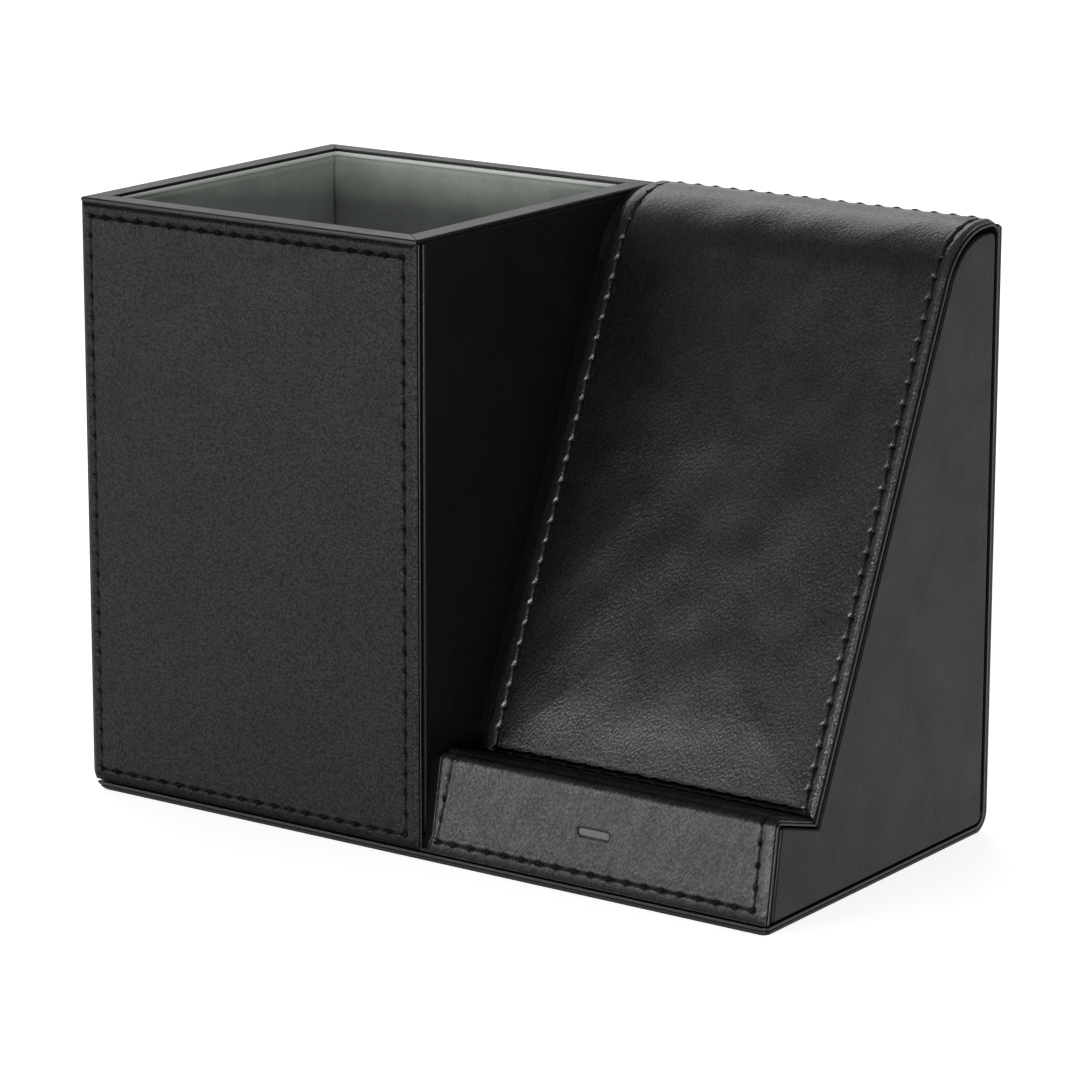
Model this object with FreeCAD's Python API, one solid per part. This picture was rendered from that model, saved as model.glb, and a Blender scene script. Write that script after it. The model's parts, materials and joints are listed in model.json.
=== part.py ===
import FreeCAD, Part
import math
import os

from FreeCAD import Vector

# A leather-covered desk stand. A lined pen cup stands on the left, and on the right a
# leaning rest with a low lip holds a phone in front of a charging coil.
# Millimetres. +X is right, +Y is back, +Z is up. The origin is on the desk, at the
# middle of the stand.

# ---- Overall sizes ----------------------------------------------------------
WIDTH = 160.0              # whole stand, left to right
DEPTH = 80.0               # whole stand, front to back
REST_WIDTH = 78.5          # bay for a phone; the pen cup takes what is left
CUP_HEIGHT = 120.0         # desk to the rim
REST_HEIGHT = 121.0        # desk to the top of the rolled edge
EDGE_RADIUS = 4.0          # rounded lower edges, at the left and at the back

# ---- Sheet materials, by thickness -------------------------------------------
BOARD = 2.0                # grey board of the walls
BASE_BOARD = 3.0           # denser board that everything stands on
SKIN = 0.6                 # padded leather with stitched borders
PLY = 0.5                  # wrapped ply under a stitched skin
CASE_SKIN = 0.7            # plain leather under the base and up the back
CASE_PLY = 0.6             # ply inside that leather
PANEL = 1.4                # plain wrapped panels on the sides
BINDING = 0.8              # turned strips on the rim of the cup
LINING = 1.4               # padded lining of the cup
GLUE = 0.1                 # film between two glued layers

# ---- Seams and grooves --------------------------------------------------------
BASE_GAP = 0.4             # shadow line between the base and the covers
GROOVE = 1.1               # channel round a plain side panel
LEDGE_GROOVE = 0.4         # the same channel under the ledge, where it closes up
CUP_MARGIN = 0.25          # ply that shows to the right of the cup's front skin
REST_MARGIN = 0.35         # ply that shows beside the skins at the right end
SLOT = 2.5                 # slot between the cup and the skins of the rest
NOTCH_STRIP = 0.6          # leather left whole under the lower end of that slot
NOTCH_TOE = 0.9            # how far the lip widens to the left at its foot
NOTCH_RISE = 3.0           # height over which it does so
SKIN_ROUND = 0.4           # rolled outer edge of a skin
PANEL_ROUND = 0.5          # rolled outer edge of a side panel
RIM_ROUND = 0.45           # rolled outer edge of the rim strips
LINING_ROUND = 0.6         # rolled top edge of the lining
FLAP_DROP = 1.2            # how far the rim strips turn down inside, from the rim
MITRE_GAP = 0.15           # seam between rim strips at a corner
CORNER_SEAM = 0.2          # gap between lining panels in a corner
BASE_CORNER = 1.5          # plan radius of the base at its right corner

# ---- Profile of the rest --------------------------------------------------------
LIP_HEIGHT = 21.6          # desk to the top of the lip
LIP_LEAN = 8.9             # degrees that the lip leans back
LEDGE_DEPTH = 13.1         # top of the lip to the foot of the slope, front to back
LEDGE_TILT = 15.4          # degrees that the ledge falls towards the slope
FOLD_RADIUS = 1.8          # fold over the top of the lip
ROLL_RADIUS = 16.0         # rolled edge at the top of the slope
TOP_FLAT = 2.0             # flat behind the rolled edge
BACK_TOP_RADIUS = 4.0      # upper back edge
RAIL_SHANK = 3.7           # straight part of the top rail below its rolled part
BACK_DROP = 1.0            # top of the rest down to the top of the sheets behind it

# ---- Charging coil and its tray ---------------------------------------------------
COIL_RISE = 60.0           # foot of the slope to the middle of the coil
COIL_OUTER = 21.5
COIL_INNER = 10.25
COIL_THICKNESS = 1.5
FERRITE_SIZE = 50.0
FERRITE_THICKNESS = 2.0
FERRITE_FIT = 0.5          # play between the ferrite and the wall of the tray
TRAY_WALL = 1.5
TRAY_CORNER = 4.0
EAR_RADIUS = 3.4
EAR_THICKNESS = 1.6
HEAD_PLAY = 0.3            # screw head clear of the side of the tray

# ---- Circuit board, on spacers over the base ---------------------------------------
CIRCUIT_WIDTH = 52.0
CIRCUIT_DEPTH = 34.0
CIRCUIT_THICKNESS = 1.6
CIRCUIT_CORNER = 2.0
SPACER_HEIGHT = 5.0
SPACER_RADIUS = 2.9        # middle to a corner of the six-sided spacer
SPACER_SIDES = 6
SPACER_INSET = 3.4         # spacers in from the edges of the circuit board
INDUCTOR_RADIUS = 3.8
INDUCTOR_HEIGHT = 4.0
INDUCTOR_BEVEL = 0.6
CHIP_SIZE = 6.0
CHIP_HEIGHT = 0.9
CAPACITOR_SIZE = (4.6, 3.2, 2.4)
CAPACITOR_COUNT = 4
CAPACITOR_PITCH = 6.5
PART_ROW = 4.0             # rows of parts, in front of and behind the middle

# ---- Screws ---------------------------------------------------------------------------
SCREW_RADIUS = 1.0
SCREW_PLAY = 0.05          # shank in its pilot hole
SCREW_HOLE = 1.3           # free hole in what the screw holds
SCREW_HEAD_RADIUS = 1.9
SCREW_HEAD = 1.3
TRAY_SCREW_BITE = 1.5      # how far a tray screw goes into the slope board
BOARD_SCREW_BITE = 3.6     # how far a board screw goes into its spacer

# ---- Charging inlet, a USB-C socket ------------------------------------------------------
SOCKET_WIDTH = 8.94
SOCKET_HEIGHT = 3.26
SOCKET_LENGTH = 7.35
SOCKET_WALL = 0.3
SOCKET_MOUTH = 6.2         # depth of the hollow
TONGUE_WIDTH = 6.7
TONGUE_HEIGHT = 0.7
TONGUE_LENGTH = 5.2
SOCKET_RECESS = 0.5        # mouth inside the back of the stand
BEZEL_RECESS = 0.3
BEZEL_WALL = 2.6           # bezel round the socket
BEZEL_FIT = 0.15           # socket in its bezel
BEZEL_BEVEL = 0.3

# ---- Indicator lamp in the lip --------------------------------------------------------------
LENS_WIDTH = 7.0
LENS_HEIGHT = 1.5
LENS_RISE = 10.2           # foot of the lip to the middle of the lens, along the lip
LENS_RECESS = 0.25
LENS_FIT = 0.12            # lens in its holes
LENS_FLANGE = 1.0          # how far the flange stands out round the lens
FLANGE_THICKNESS = 0.8
HOLDER_WALL = 1.8
HOLDER_DEPTH = 2.6
HOLDER_FIT = 0.2           # flange in the holder
LAMP_BOARD = 1.0
LAMP_SIZE = (3.2, 0.8, 1.6)

# ---- Internal leads ------------------------------------------------------------------------
LEAD_WIDTH = 2.6           # flat leads of two wires side by side
LEAD_THICKNESS = 1.3
LEAD_PLAY = 0.3            # coil's lead in the notch of the tray
LEAD_RUN = 6.0             # straight run out of the lamp board
LEAD_DIP = 9.0             # straight run below the coil's tray
LEAD_RISE = 12.0           # straight run up from the circuit board
LAMP_LEAD_SIDE = 3.0       # lamp lead to the left of the middle
LAMP_LANDING = 3.0         # where the leads meet the circuit board, from its front edge
COIL_LANDING = 10.0
BEND_SHARE = 0.45          # share of the shorter run that a bend takes up

SAME_PLACE = 1e-6          # two points closer than this are one
BACKWARD = Vector(0, 1, 0)
UPWARD = Vector(0, 0, 1)

# ---- Places that follow from the sizes ---------------------------------------------------------
LEFT, RIGHT = -WIDTH / 2, WIDTH / 2
FRONT, BACK = -DEPTH / 2, DEPTH / 2
CUP_RIGHT = RIGHT - REST_WIDTH
REST_LEFT = CUP_RIGHT + SLOT
REST_MIDDLE = (CUP_RIGHT + RIGHT) / 2

WRAP = SKIN + GLUE + PLY                       # stitched skin and its ply
CASE = CASE_SKIN + GLUE + CASE_PLY             # base or back leather and its ply
WRAP_STACK = WRAP + GLUE                       # outer face to the face of a board
CASE_STACK = CASE + GLUE
SIDE_STACK = PANEL + GLUE

COVER_FOOT = CASE + BASE_GAP                   # lower edge of the covers
BASE_TOP = CASE_STACK + BASE_BOARD             # top face of the base board
WALL_FOOT = BASE_TOP + GLUE
RIM_SEAT = CUP_HEIGHT - BINDING - GLUE         # top of the cup's walls and covers

WALL_LEFT = LEFT + SIDE_STACK                  # outer faces of the cup's boards
WALL_RIGHT = CUP_RIGHT - SIDE_STACK
WALL_FRONT = FRONT + WRAP_STACK
WALL_BACK = BACK - CASE_STACK
ROOM_LEFT = WALL_LEFT + BOARD                  # inner faces of the cup's boards
ROOM_RIGHT = WALL_RIGHT - BOARD
ROOM_FRONT = WALL_FRONT + BOARD
ROOM_BACK = WALL_BACK - BOARD

PANEL_FRONT = FRONT + WRAP + GROOVE
PANEL_BACK = BACK - CASE - GROOVE
FLAP_FOOT = CUP_HEIGHT - FLAP_DROP
LINING_TOP = FLAP_FOOT - GLUE

END_BOARD_OUTER = RIGHT - SIDE_STACK
END_BOARD_INNER = END_BOARD_OUTER - BOARD
REST_INNER_RIGHT = END_BOARD_INNER - GLUE
REST_INNER_LEFT = CUP_RIGHT + GLUE

TRAY_SIZE = FERRITE_SIZE + 2 * (FERRITE_FIT + TRAY_WALL)
FERRITE_FACE = GLUE + COIL_THICKNESS + GLUE    # depths behind the slope board
TRAY_FLOOR = FERRITE_FACE + FERRITE_THICKNESS + GLUE
TRAY_DEPTH = TRAY_FLOOR + TRAY_WALL
LEAD_DEPTH = GLUE + COIL_THICKNESS / 2         # where the coil's lead leaves the coil

CIRCUIT_FOOT = BASE_TOP + SPACER_HEIGHT
CIRCUIT_TOP = CIRCUIT_FOOT + CIRCUIT_THICKNESS
CIRCUIT_BACK = ROOM_BACK - GLUE
CIRCUIT_FRONT = CIRCUIT_BACK - CIRCUIT_DEPTH
CIRCUIT_MIDDLE = (CIRCUIT_FRONT + CIRCUIT_BACK) / 2
SOCKET_MIDDLE = CIRCUIT_TOP + SOCKET_HEIGHT / 2

LIP_BOARD_INSIDE = WRAP_STACK + BOARD          # depths behind the face of the lip
FLANGE_FACE = LIP_BOARD_INSIDE + GLUE
LAMP_BOARD_FACE = FLANGE_FACE + HOLDER_DEPTH + GLUE


# ---- Flat outlines ---------------------------------------------------------------------------------
def in_yz(x):
    return lambda y, z: Vector(x, y, z)


def in_xz(y):
    return lambda x, z: Vector(x, y, z)


def in_xy(z):
    return lambda x, y: Vector(x, y, z)


def wire(corners, place):
    """Closed wire through corners (a, b) or (a, b, radius), put into space by place."""
    points = [place(corner[0], corner[1]) for corner in corners]
    radii = [corner[2] if len(corner) > 2 else 0.0 for corner in corners]
    turns = []
    for index, point in enumerate(points):
        behind = points[index - 1]
        ahead = points[(index + 1) % len(points)]
        turns.append(rounded_turn(behind, point, ahead, radii[index]))
    edges = []
    for index, turn in enumerate(turns):
        if len(turn) > 1:
            edges.append(Part.Arc(*turn).toShape())
        following = turns[(index + 1) % len(turns)][0]
        if not turn[-1].isEqual(following, SAME_PLACE):
            edges.append(Part.makeLine(turn[-1], following))
    return Part.Wire(edges)


def rounded_turn(behind, corner, ahead, radius):
    """The corner itself, or the start, middle and end of the arc that rounds it."""
    to_behind = (behind - corner).normalize()
    to_ahead = (ahead - corner).normalize()
    half_turn = (math.pi - to_behind.getAngle(to_ahead)) / 2
    if radius <= 0 or half_turn < SAME_PLACE:
        return [corner]
    tangent = radius * math.tan(half_turn)
    inward = (to_behind + to_ahead).normalize()
    middle = corner + inward * (radius / math.cos(half_turn) - radius)
    return [corner + to_behind * tangent, middle, corner + to_ahead * tangent]


def prism(corners, place, along):
    """A flat outline drawn out by the vector along."""
    return Part.Face(wire(corners, place)).extrude(along)


def across(corners, x_start, x_end):
    """An outline in Y and Z, drawn out from left to right."""
    return prism(corners, in_yz(x_start), Vector(x_end - x_start, 0, 0))


def block(x_start, x_end, y_start, y_end, z_start, z_end):
    size = (x_end - x_start, y_end - y_start, z_end - z_start)
    return Part.makeBox(*size, Vector(x_start, y_start, z_start))


def rounded_bar(x_middle, z_middle, width, height, radius, y_start, y_end):
    """A bar that runs from front to back, with its four long edges rounded."""
    x_side, z_side = width / 2, height / 2
    corners = [
        (x_middle + x_sign * x_side, z_middle + z_sign * z_side, radius)
        for x_sign, z_sign in ((-1, -1), (1, -1), (1, 1), (-1, 1))
    ]
    return prism(corners, in_xz(y_start), Vector(0, y_end - y_start, 0))


def rod(base, axis, radius, length):
    return Part.makeCylinder(radius, length, base, axis)


def soften(shape, radius, chosen):
    """Round the edges that the test chosen picks out."""
    return shape.makeFillet(radius, [edge for edge in shape.Edges if chosen(edge)])


def bevel(shape, size, chosen):
    """Break the edges that the test chosen picks out."""
    return shape.makeChamfer(size, [edge for edge in shape.Edges if chosen(edge)])


def lies_at(axis, place):
    """Test for edges that lie wholly in the plane where this axis has this value."""
    def test(edge):
        ends = (edge.valueAt(edge.FirstParameter), edge.valueAt(edge.LastParameter))
        points = ends + (edge.CenterOfMass,)
        return all(abs(getattr(point, axis) - place) < SAME_PLACE for point in points)
    return test


# ---- Outline of the rest, seen from the right ---------------------------------------------
def lip_line(height, depth):
    """Y of the lip's face at a height, at a depth below the leather."""
    lean = math.radians(LIP_LEAN)
    return FRONT + (height - COVER_FOOT) * math.tan(lean) + depth / math.cos(lean)


def slope_lean():
    """Degrees from upright of the line from the crease that touches the rolled edge."""
    crease_y = lip_line(LIP_HEIGHT, 0) + LEDGE_DEPTH
    crease_z = LIP_HEIGHT - LEDGE_DEPTH * math.tan(math.radians(LEDGE_TILT))
    to_roll_y = BACK - BACK_TOP_RADIUS - TOP_FLAT - crease_y
    to_roll_z = REST_HEIGHT - ROLL_RADIUS - crease_z
    reach = math.hypot(to_roll_y, to_roll_z)
    return math.degrees(math.atan2(to_roll_y, to_roll_z) - math.asin(ROLL_RADIUS / reach))


SLOPE_LEAN = slope_lean()
ROLL_TANGENT = ROLL_RADIUS * math.tan(math.radians(90 - SLOPE_LEAN) / 2)
RAIL_FOOT = REST_HEIGHT - ROLL_TANGENT * math.cos(math.radians(SLOPE_LEAN)) - RAIL_SHANK
RAIL_SEAT = RAIL_FOOT - GLUE


def rest_corners(depth, foot=COVER_FOOT, ledge_depth=None):
    """Named corners of the rest at a depth below its outer face, as (y, z, radius)."""
    ledge_depth = depth if ledge_depth is None else ledge_depth
    tilt, lean = math.radians(LEDGE_TILT), math.radians(SLOPE_LEAN)
    lip_slope = math.tan(math.radians(LIP_LEAN))

    # The ledge falls from the top of the lip; the slope climbs from where they meet.
    lip_y = lip_line(LIP_HEIGHT, 0)
    crease_y = lip_y + LEDGE_DEPTH
    crease_z = LIP_HEIGHT - LEDGE_DEPTH * math.tan(tilt)

    def ledge_z(y):
        return LIP_HEIGHT - (y - lip_y) * math.tan(tilt) - ledge_depth / math.cos(tilt)

    def slope_y(z):
        return crease_y + (z - crease_z) * math.tan(lean) + depth / math.cos(lean)

    # Where the moved ledge meets the moved lip and the moved slope.
    lip_at_zero, slope_at_zero = lip_line(0, depth), slope_y(0)
    lip_top_z = ledge_z(lip_at_zero) / (1 + math.tan(tilt) * lip_slope)
    inner_crease_z = ledge_z(slope_at_zero) / (1 + math.tan(tilt) * math.tan(lean))
    top = REST_HEIGHT - depth
    return {
        "foot": (lip_line(foot, depth), foot, 0.0),
        "lip_top": (lip_line(lip_top_z, depth), lip_top_z, max(FOLD_RADIUS - depth, 0.0)),
        "crease": (slope_y(inner_crease_z), inner_crease_z, 0.0),
        "slope_seam": (slope_y(RAIL_FOOT), RAIL_FOOT, 0.0),
        "roll": (slope_y(top), top, ROLL_RADIUS - depth),
        "top_back": (BACK - depth, top, max(BACK_TOP_RADIUS - depth, 0.0)),
        "behind_rail": (BACK - depth, RAIL_FOOT, 0.0),
        "back_foot": (BACK - depth, foot, max(EDGE_RADIUS - depth, 0.0)),
    }


def rest_layer(names, outer_depth, inner_depth, foot=COVER_FOOT):
    """Outline of a layer of the rest that follows the named corners."""
    outer = rest_corners(outer_depth, foot)
    inner = rest_corners(inner_depth, foot)
    return [outer[name] for name in names] + [inner[name] for name in reversed(names)]


def before_back(shape):
    """Keep what lies in front of the leather and ply of the back."""
    return shape.cut(block(LEFT, RIGHT, WALL_BACK, BACK + BOARD, 0, REST_HEIGHT))


def round_left_foot(shape):
    """Keep what lies inside the rounded lower left edge of the stand."""
    high = REST_HEIGHT + EDGE_RADIUS
    corners = [(LEFT, 0, EDGE_RADIUS), (RIGHT, 0), (RIGHT, high), (LEFT, high)]
    return shape.common(prism(corners, in_xz(FRONT), Vector(0, DEPTH, 0)))


def back_bend(outer_depth, inner_depth, top):
    """Outline of a sheet that turns from under the base and goes up the back."""
    start = BACK - EDGE_RADIUS
    return [
        (start, outer_depth),
        (BACK - outer_depth, outer_depth, EDGE_RADIUS - outer_depth),
        (BACK - outer_depth, top),
        (BACK - inner_depth, top),
        (BACK - inner_depth, inner_depth, EDGE_RADIUS - inner_depth),
        (start, inner_depth),
    ]


# ---- Pieces that are cut through others --------------------------------------------------
def inlet_bar(grow, y_start, y_end):
    """Round-ended bar through the back at the charging inlet."""
    width = SOCKET_WIDTH + 2 * grow
    height = SOCKET_HEIGHT + 2 * grow
    return rounded_bar(REST_MIDDLE, SOCKET_MIDDLE, width, height, height / 2, y_start, y_end)


def lens_bar(grow, y_start, y_end):
    """Round-ended bar through the lip at the lamp, before the lip leans back."""
    height = LENS_HEIGHT + 2 * grow
    width = LENS_WIDTH + 2 * grow
    return rounded_bar(REST_MIDDLE, LENS_RISE, width, height, height / 2, y_start, y_end)


def on_lip(shape):
    """Lean a piece that was built upright, with the face of the lip at Y zero."""
    shape.rotate(Vector(0, 0, 0), Vector(1, 0, 0), -LIP_LEAN)
    shape.translate(Vector(0, FRONT, COVER_FOOT))
    return shape


def slope_origin():
    """Foot of the slope board's inner face."""
    crease = rest_corners(WRAP_STACK + BOARD)["crease"]
    return Vector(0, crease[0], crease[1])


def on_slope(shape):
    """Lean a piece that was built upright, with the slope board's inner face at Y zero."""
    shape.rotate(Vector(0, 0, 0), Vector(1, 0, 0), -SLOPE_LEAN)
    shape.translate(slope_origin())
    return shape


def through_lip(shape):
    """Cut the hole for the lamp's lens."""
    return shape.cut(on_lip(lens_bar(LENS_FIT, -LIP_HEIGHT, LEDGE_DEPTH)))


def through_back(shape):
    """Cut the window for the charging inlet."""
    return shape.cut(inlet_bar(BEZEL_FIT + BEZEL_WALL + GLUE, CIRCUIT_MIDDLE, BACK + BOARD))


# ---- Base and back ---------------------------------------------------------------------------
def base_sheet(z_start, z_end):
    sheet = block(LEFT, RIGHT, FRONT, BACK - EDGE_RADIUS - GLUE, z_start, z_end)
    def front_right(edge):
        return lies_at("x", RIGHT)(edge) and lies_at("y", FRONT)(edge)
    return round_left_foot(soften(sheet, BASE_CORNER, front_right))


def back_sheet(outer_depth, inner_depth):
    """A sheet over the whole back, up to the rim strips and to the top of the rest."""
    middle = CUP_RIGHT + GLUE
    rest_top = REST_HEIGHT - BACK_DROP
    sheet = across(back_bend(outer_depth, inner_depth, RIM_SEAT), LEFT, middle)
    sheet = sheet.fuse(across(back_bend(outer_depth, inner_depth, rest_top), middle, RIGHT))
    return round_left_foot(through_back(sheet.removeSplitter()))


def base_board():
    """The board under both halves; its front edge leans where the lip stands on it."""
    under = CASE_STACK
    back_edge = [(WALL_BACK, under, EDGE_RADIUS - under), (WALL_BACK, BASE_TOP)]
    upright = [(WALL_FRONT, BASE_TOP), (WALL_FRONT, under)]
    leaning = [(lip_line(BASE_TOP, WRAP_STACK), BASE_TOP), (lip_line(under, WRAP_STACK), under)]
    below_cup = across(upright + back_edge, WALL_LEFT, REST_INNER_LEFT)
    below_rest = across(leaning + back_edge, REST_INNER_LEFT, END_BOARD_OUTER)
    return below_cup.fuse(below_rest).removeSplitter()


# ---- Pen cup -----------------------------------------------------------------------------------
def cup_front_skin():
    skin = block(LEFT, CUP_RIGHT - CUP_MARGIN, FRONT, FRONT + SKIN, COVER_FOOT, RIM_SEAT)
    return soften(round_left_foot(skin), SKIN_ROUND, lies_at("y", FRONT))


def cup_front_ply():
    ply = block(LEFT, CUP_RIGHT, FRONT + SKIN + GLUE, FRONT + WRAP, COVER_FOOT, RIM_SEAT)
    return round_left_foot(ply)


def cup_left_panel():
    panel = across([(PANEL_FRONT, COVER_FOOT),
                    (PANEL_BACK, COVER_FOOT, max(EDGE_RADIUS - CASE - GROOVE, 0)),
                    (PANEL_BACK, RIM_SEAT), (PANEL_FRONT, RIM_SEAT)], LEFT, LEFT + PANEL)
    upright = [lies_at("y", PANEL_FRONT), lies_at("y", PANEL_BACK)]
    panel = soften(panel, PANEL_ROUND,
                   lambda edge: lies_at("x", LEFT)(edge) and any(test(edge) for test in upright))
    return round_left_foot(panel)


def cup_right_panel():
    panel = block(CUP_RIGHT - PANEL, CUP_RIGHT, PANEL_FRONT, PANEL_BACK, WALL_FOOT, RIM_SEAT)
    return soften(panel, PANEL_ROUND,
                  lambda edge: lies_at("x", CUP_RIGHT)(edge) and lies_at("y", PANEL_FRONT)(edge))


def cup_wall(x_start, x_end, y_start, y_end):
    return block(x_start, x_end, y_start, y_end, WALL_FOOT, RIM_SEAT)


def rim_strips():
    """Four strips that cover the edge of the walls and turn down inside, with mitred ends."""
    flap_outer = ring(ROOM_LEFT + GLUE, ROOM_RIGHT - GLUE, ROOM_FRONT + GLUE, ROOM_BACK - GLUE)
    flap_inner = ring(ROOM_LEFT + GLUE + BINDING, ROOM_RIGHT - GLUE - BINDING,
                      ROOM_FRONT + GLUE + BINDING, ROOM_BACK - GLUE - BINDING)
    rim_outer = ring(LEFT, CUP_RIGHT, FRONT, BACK)
    outer_edges = [("y", FRONT), ("x", CUP_RIGHT), ("y", BACK), ("x", LEFT)]
    strips = {}
    for side, name in enumerate(("front", "right", "back", "left")):
        top = mitred_strip(rim_outer, flap_inner, side, RIM_SEAT + GLUE, CUP_HEIGHT)
        flap = mitred_strip(flap_outer, flap_inner, side, FLAP_FOOT, RIM_SEAT + GLUE)
        axis, place = outer_edges[side]
        strip = top.fuse(flap).removeSplitter()
        strips[name] = soften(strip, RIM_ROUND, lambda edge: lies_at(axis, place)(edge)
                              and lies_at("z", CUP_HEIGHT)(edge))
    return strips


def ring(x_start, x_end, y_start, y_end):
    return [(x_start, y_start), (x_end, y_start), (x_end, y_end), (x_start, y_end)]


def mitred_strip(outer, inner, side, z_start, z_end):
    """One side of a frame between two rings, with room for half a seam at both mitres."""
    following = (side + 1) % len(outer)
    start, end = Vector(*outer[side], 0), Vector(*outer[following], 0)
    short = (end - start).normalize() * (MITRE_GAP / math.sqrt(2))
    corners = [(outer[side], 1), (outer[following], -1), (inner[following], -1), (inner[side], 1)]
    outline = [(x + sign * short.x, y + sign * short.y) for (x, y), sign in corners]
    return prism(outline, in_xy(z_start), UPWARD * (z_end - z_start))


def lining_panel(x_start, x_end, y_start, y_end, axis, face):
    """A padded panel whose upper edge is rolled on the side that faces the room."""
    panel = block(x_start, x_end, y_start, y_end, WALL_FOOT, LINING_TOP)
    return soften(panel, LINING_ROUND,
                  lambda edge: lies_at("z", LINING_TOP)(edge) and lies_at(axis, face)(edge))


def linings():
    """Front and back panels run the whole width; the side panels stand between them."""
    left, right = ROOM_LEFT + GLUE, ROOM_RIGHT - GLUE
    front, back = ROOM_FRONT + GLUE, ROOM_BACK - GLUE
    side_front, side_back = front + LINING + CORNER_SEAM, back - LINING - CORNER_SEAM
    front_face, back_face = front + LINING, back - LINING
    left_face, right_face = left + LINING, right - LINING
    return {
        "front": lining_panel(left, right, front, front_face, "y", front_face),
        "back": lining_panel(left, right, back_face, back, "y", back_face),
        "left": lining_panel(left, left_face, side_front, side_back, "x", left_face),
        "right": lining_panel(right_face, right, side_front, side_back, "x", right_face),
        "floor": block(left_face + CORNER_SEAM, right_face - CORNER_SEAM, side_front, side_back,
                       WALL_FOOT, WALL_FOOT + LINING),
    }


# ---- Phone rest -----------------------------------------------------------------------------------
def at_ends(x_start, x_end, outline):
    """Test for the edges at the two ends of a drawn-out layer that follow an outline."""
    guides = [wire(outline, in_yz(x)) for x in (x_start, x_end)]

    def test(edge):
        at_an_end = lies_at("x", x_start)(edge) or lies_at("x", x_end)(edge)
        middle = Part.Vertex(edge.valueAt((edge.FirstParameter + edge.LastParameter) / 2))
        return at_an_end and min(guide.distToShape(middle)[0] for guide in guides) < SAME_PLACE
    return test


def slope_skin():
    """Leather from the crease up the slope and over the roll to the back sheets."""
    names = ["crease", "roll", "top_back", "behind_rail"]
    x_start, x_end = REST_LEFT, RIGHT - REST_MARGIN
    skin = across(rest_layer(names, 0, SKIN), x_start, x_end)
    surface = [rest_corners(0)[name] for name in names] + [(BACK - ROLL_RADIUS, RAIL_FOOT)]
    return before_back(soften(skin, SKIN_ROUND, at_ends(x_start, x_end, surface)))


def slope_ply():
    names = ["crease", "roll", "top_back", "behind_rail"]
    return before_back(across(rest_layer(names, SKIN + GLUE, WRAP), REST_LEFT, RIGHT))


def lip_skin():
    """Leather over lip and ledge, with a strip at its foot that closes the slot to the cup."""
    names = ["foot", "lip_top", "crease"]
    x_end = RIGHT - REST_MARGIN
    skin = across(rest_layer(names, 0, SKIN), CUP_RIGHT, x_end)
    surface = [rest_corners(0)[name] for name in names] + [(FRONT + LEDGE_DEPTH, COVER_FOOT)]
    skin = soften(skin, SKIN_ROUND, at_ends(x_end, x_end, surface))
    strip = COVER_FOOT + NOTCH_STRIP
    beyond = LIP_HEIGHT + SKIN
    slot = [(CUP_RIGHT - SLOT, strip), (REST_LEFT - NOTCH_TOE, strip),
            (REST_LEFT, strip + NOTCH_RISE), (REST_LEFT, beyond), (CUP_RIGHT - SLOT, beyond)]
    return through_lip(skin.cut(prism(slot, in_xz(FRONT - SLOT), Vector(0, DEPTH, 0))))


def lip_ply():
    names = ["foot", "lip_top", "crease"]
    return through_lip(across(rest_layer(names, SKIN + GLUE, WRAP), REST_LEFT, RIGHT))


def rest_board(names):
    """A board of the rest, between the cup's wall and the end board."""
    outline = rest_layer(names, WRAP_STACK, WRAP_STACK + BOARD, WALL_FOOT)
    return across(outline, REST_INNER_LEFT, REST_INNER_RIGHT)


def lip_board():
    return through_lip(rest_board(["foot", "lip_top"]))


def slope_board():
    board = rest_board(["crease", "slope_seam"])
    for x, z in ear_places():
        hole = rod(Vector(x, GLUE, z), Vector(0, -1, 0), SCREW_RADIUS + SCREW_PLAY,
                   GLUE + TRAY_SCREW_BITE + SCREW_PLAY)
        board = board.cut(on_slope(hole))
    return board


def top_rail():
    """Solid rail that gives the slope its rolled upper edge."""
    corners = rest_corners(WRAP_STACK)
    names = ["slope_seam", "roll", "top_back", "behind_rail"]
    return before_back(across([corners[name] for name in names], REST_INNER_LEFT,
                              REST_INNER_RIGHT))


def rest_back_board():
    board = block(REST_INNER_LEFT, REST_INNER_RIGHT, ROOM_BACK, WALL_BACK, WALL_FOOT, RAIL_SEAT)
    return through_back(board)


def end_board():
    corners = rest_corners(WRAP_STACK, WALL_FOOT)
    outline = [corners[name] for name in ("foot", "lip_top", "crease", "roll", "top_back")]
    outline.append((BACK - WRAP_STACK, WALL_FOOT))
    return before_back(across(outline, END_BOARD_INNER, END_BOARD_OUTER))


def end_panel():
    """Wrapped panel at the right end, set in behind a groove, with its outer edge rolled."""
    ledge_depth = WRAP + LEDGE_GROOVE
    corners = rest_corners(WRAP + GROOVE, COVER_FOOT, ledge_depth)
    names = ["foot", "lip_top", "crease", "roll", "top_back", "back_foot"]
    panel = across([corners[name] for name in names], RIGHT - PANEL, RIGHT)
    return soften(panel, PANEL_ROUND, lies_at("x", RIGHT))


# ---- Charging coil, built upright and leaned onto the slope board -------------------------------------
def ear_places():
    reach = TRAY_SIZE / 2 + SCREW_HEAD_RADIUS + HEAD_PLAY
    return [(REST_MIDDLE + side * reach, COIL_RISE) for side in (-1, 1)]


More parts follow.
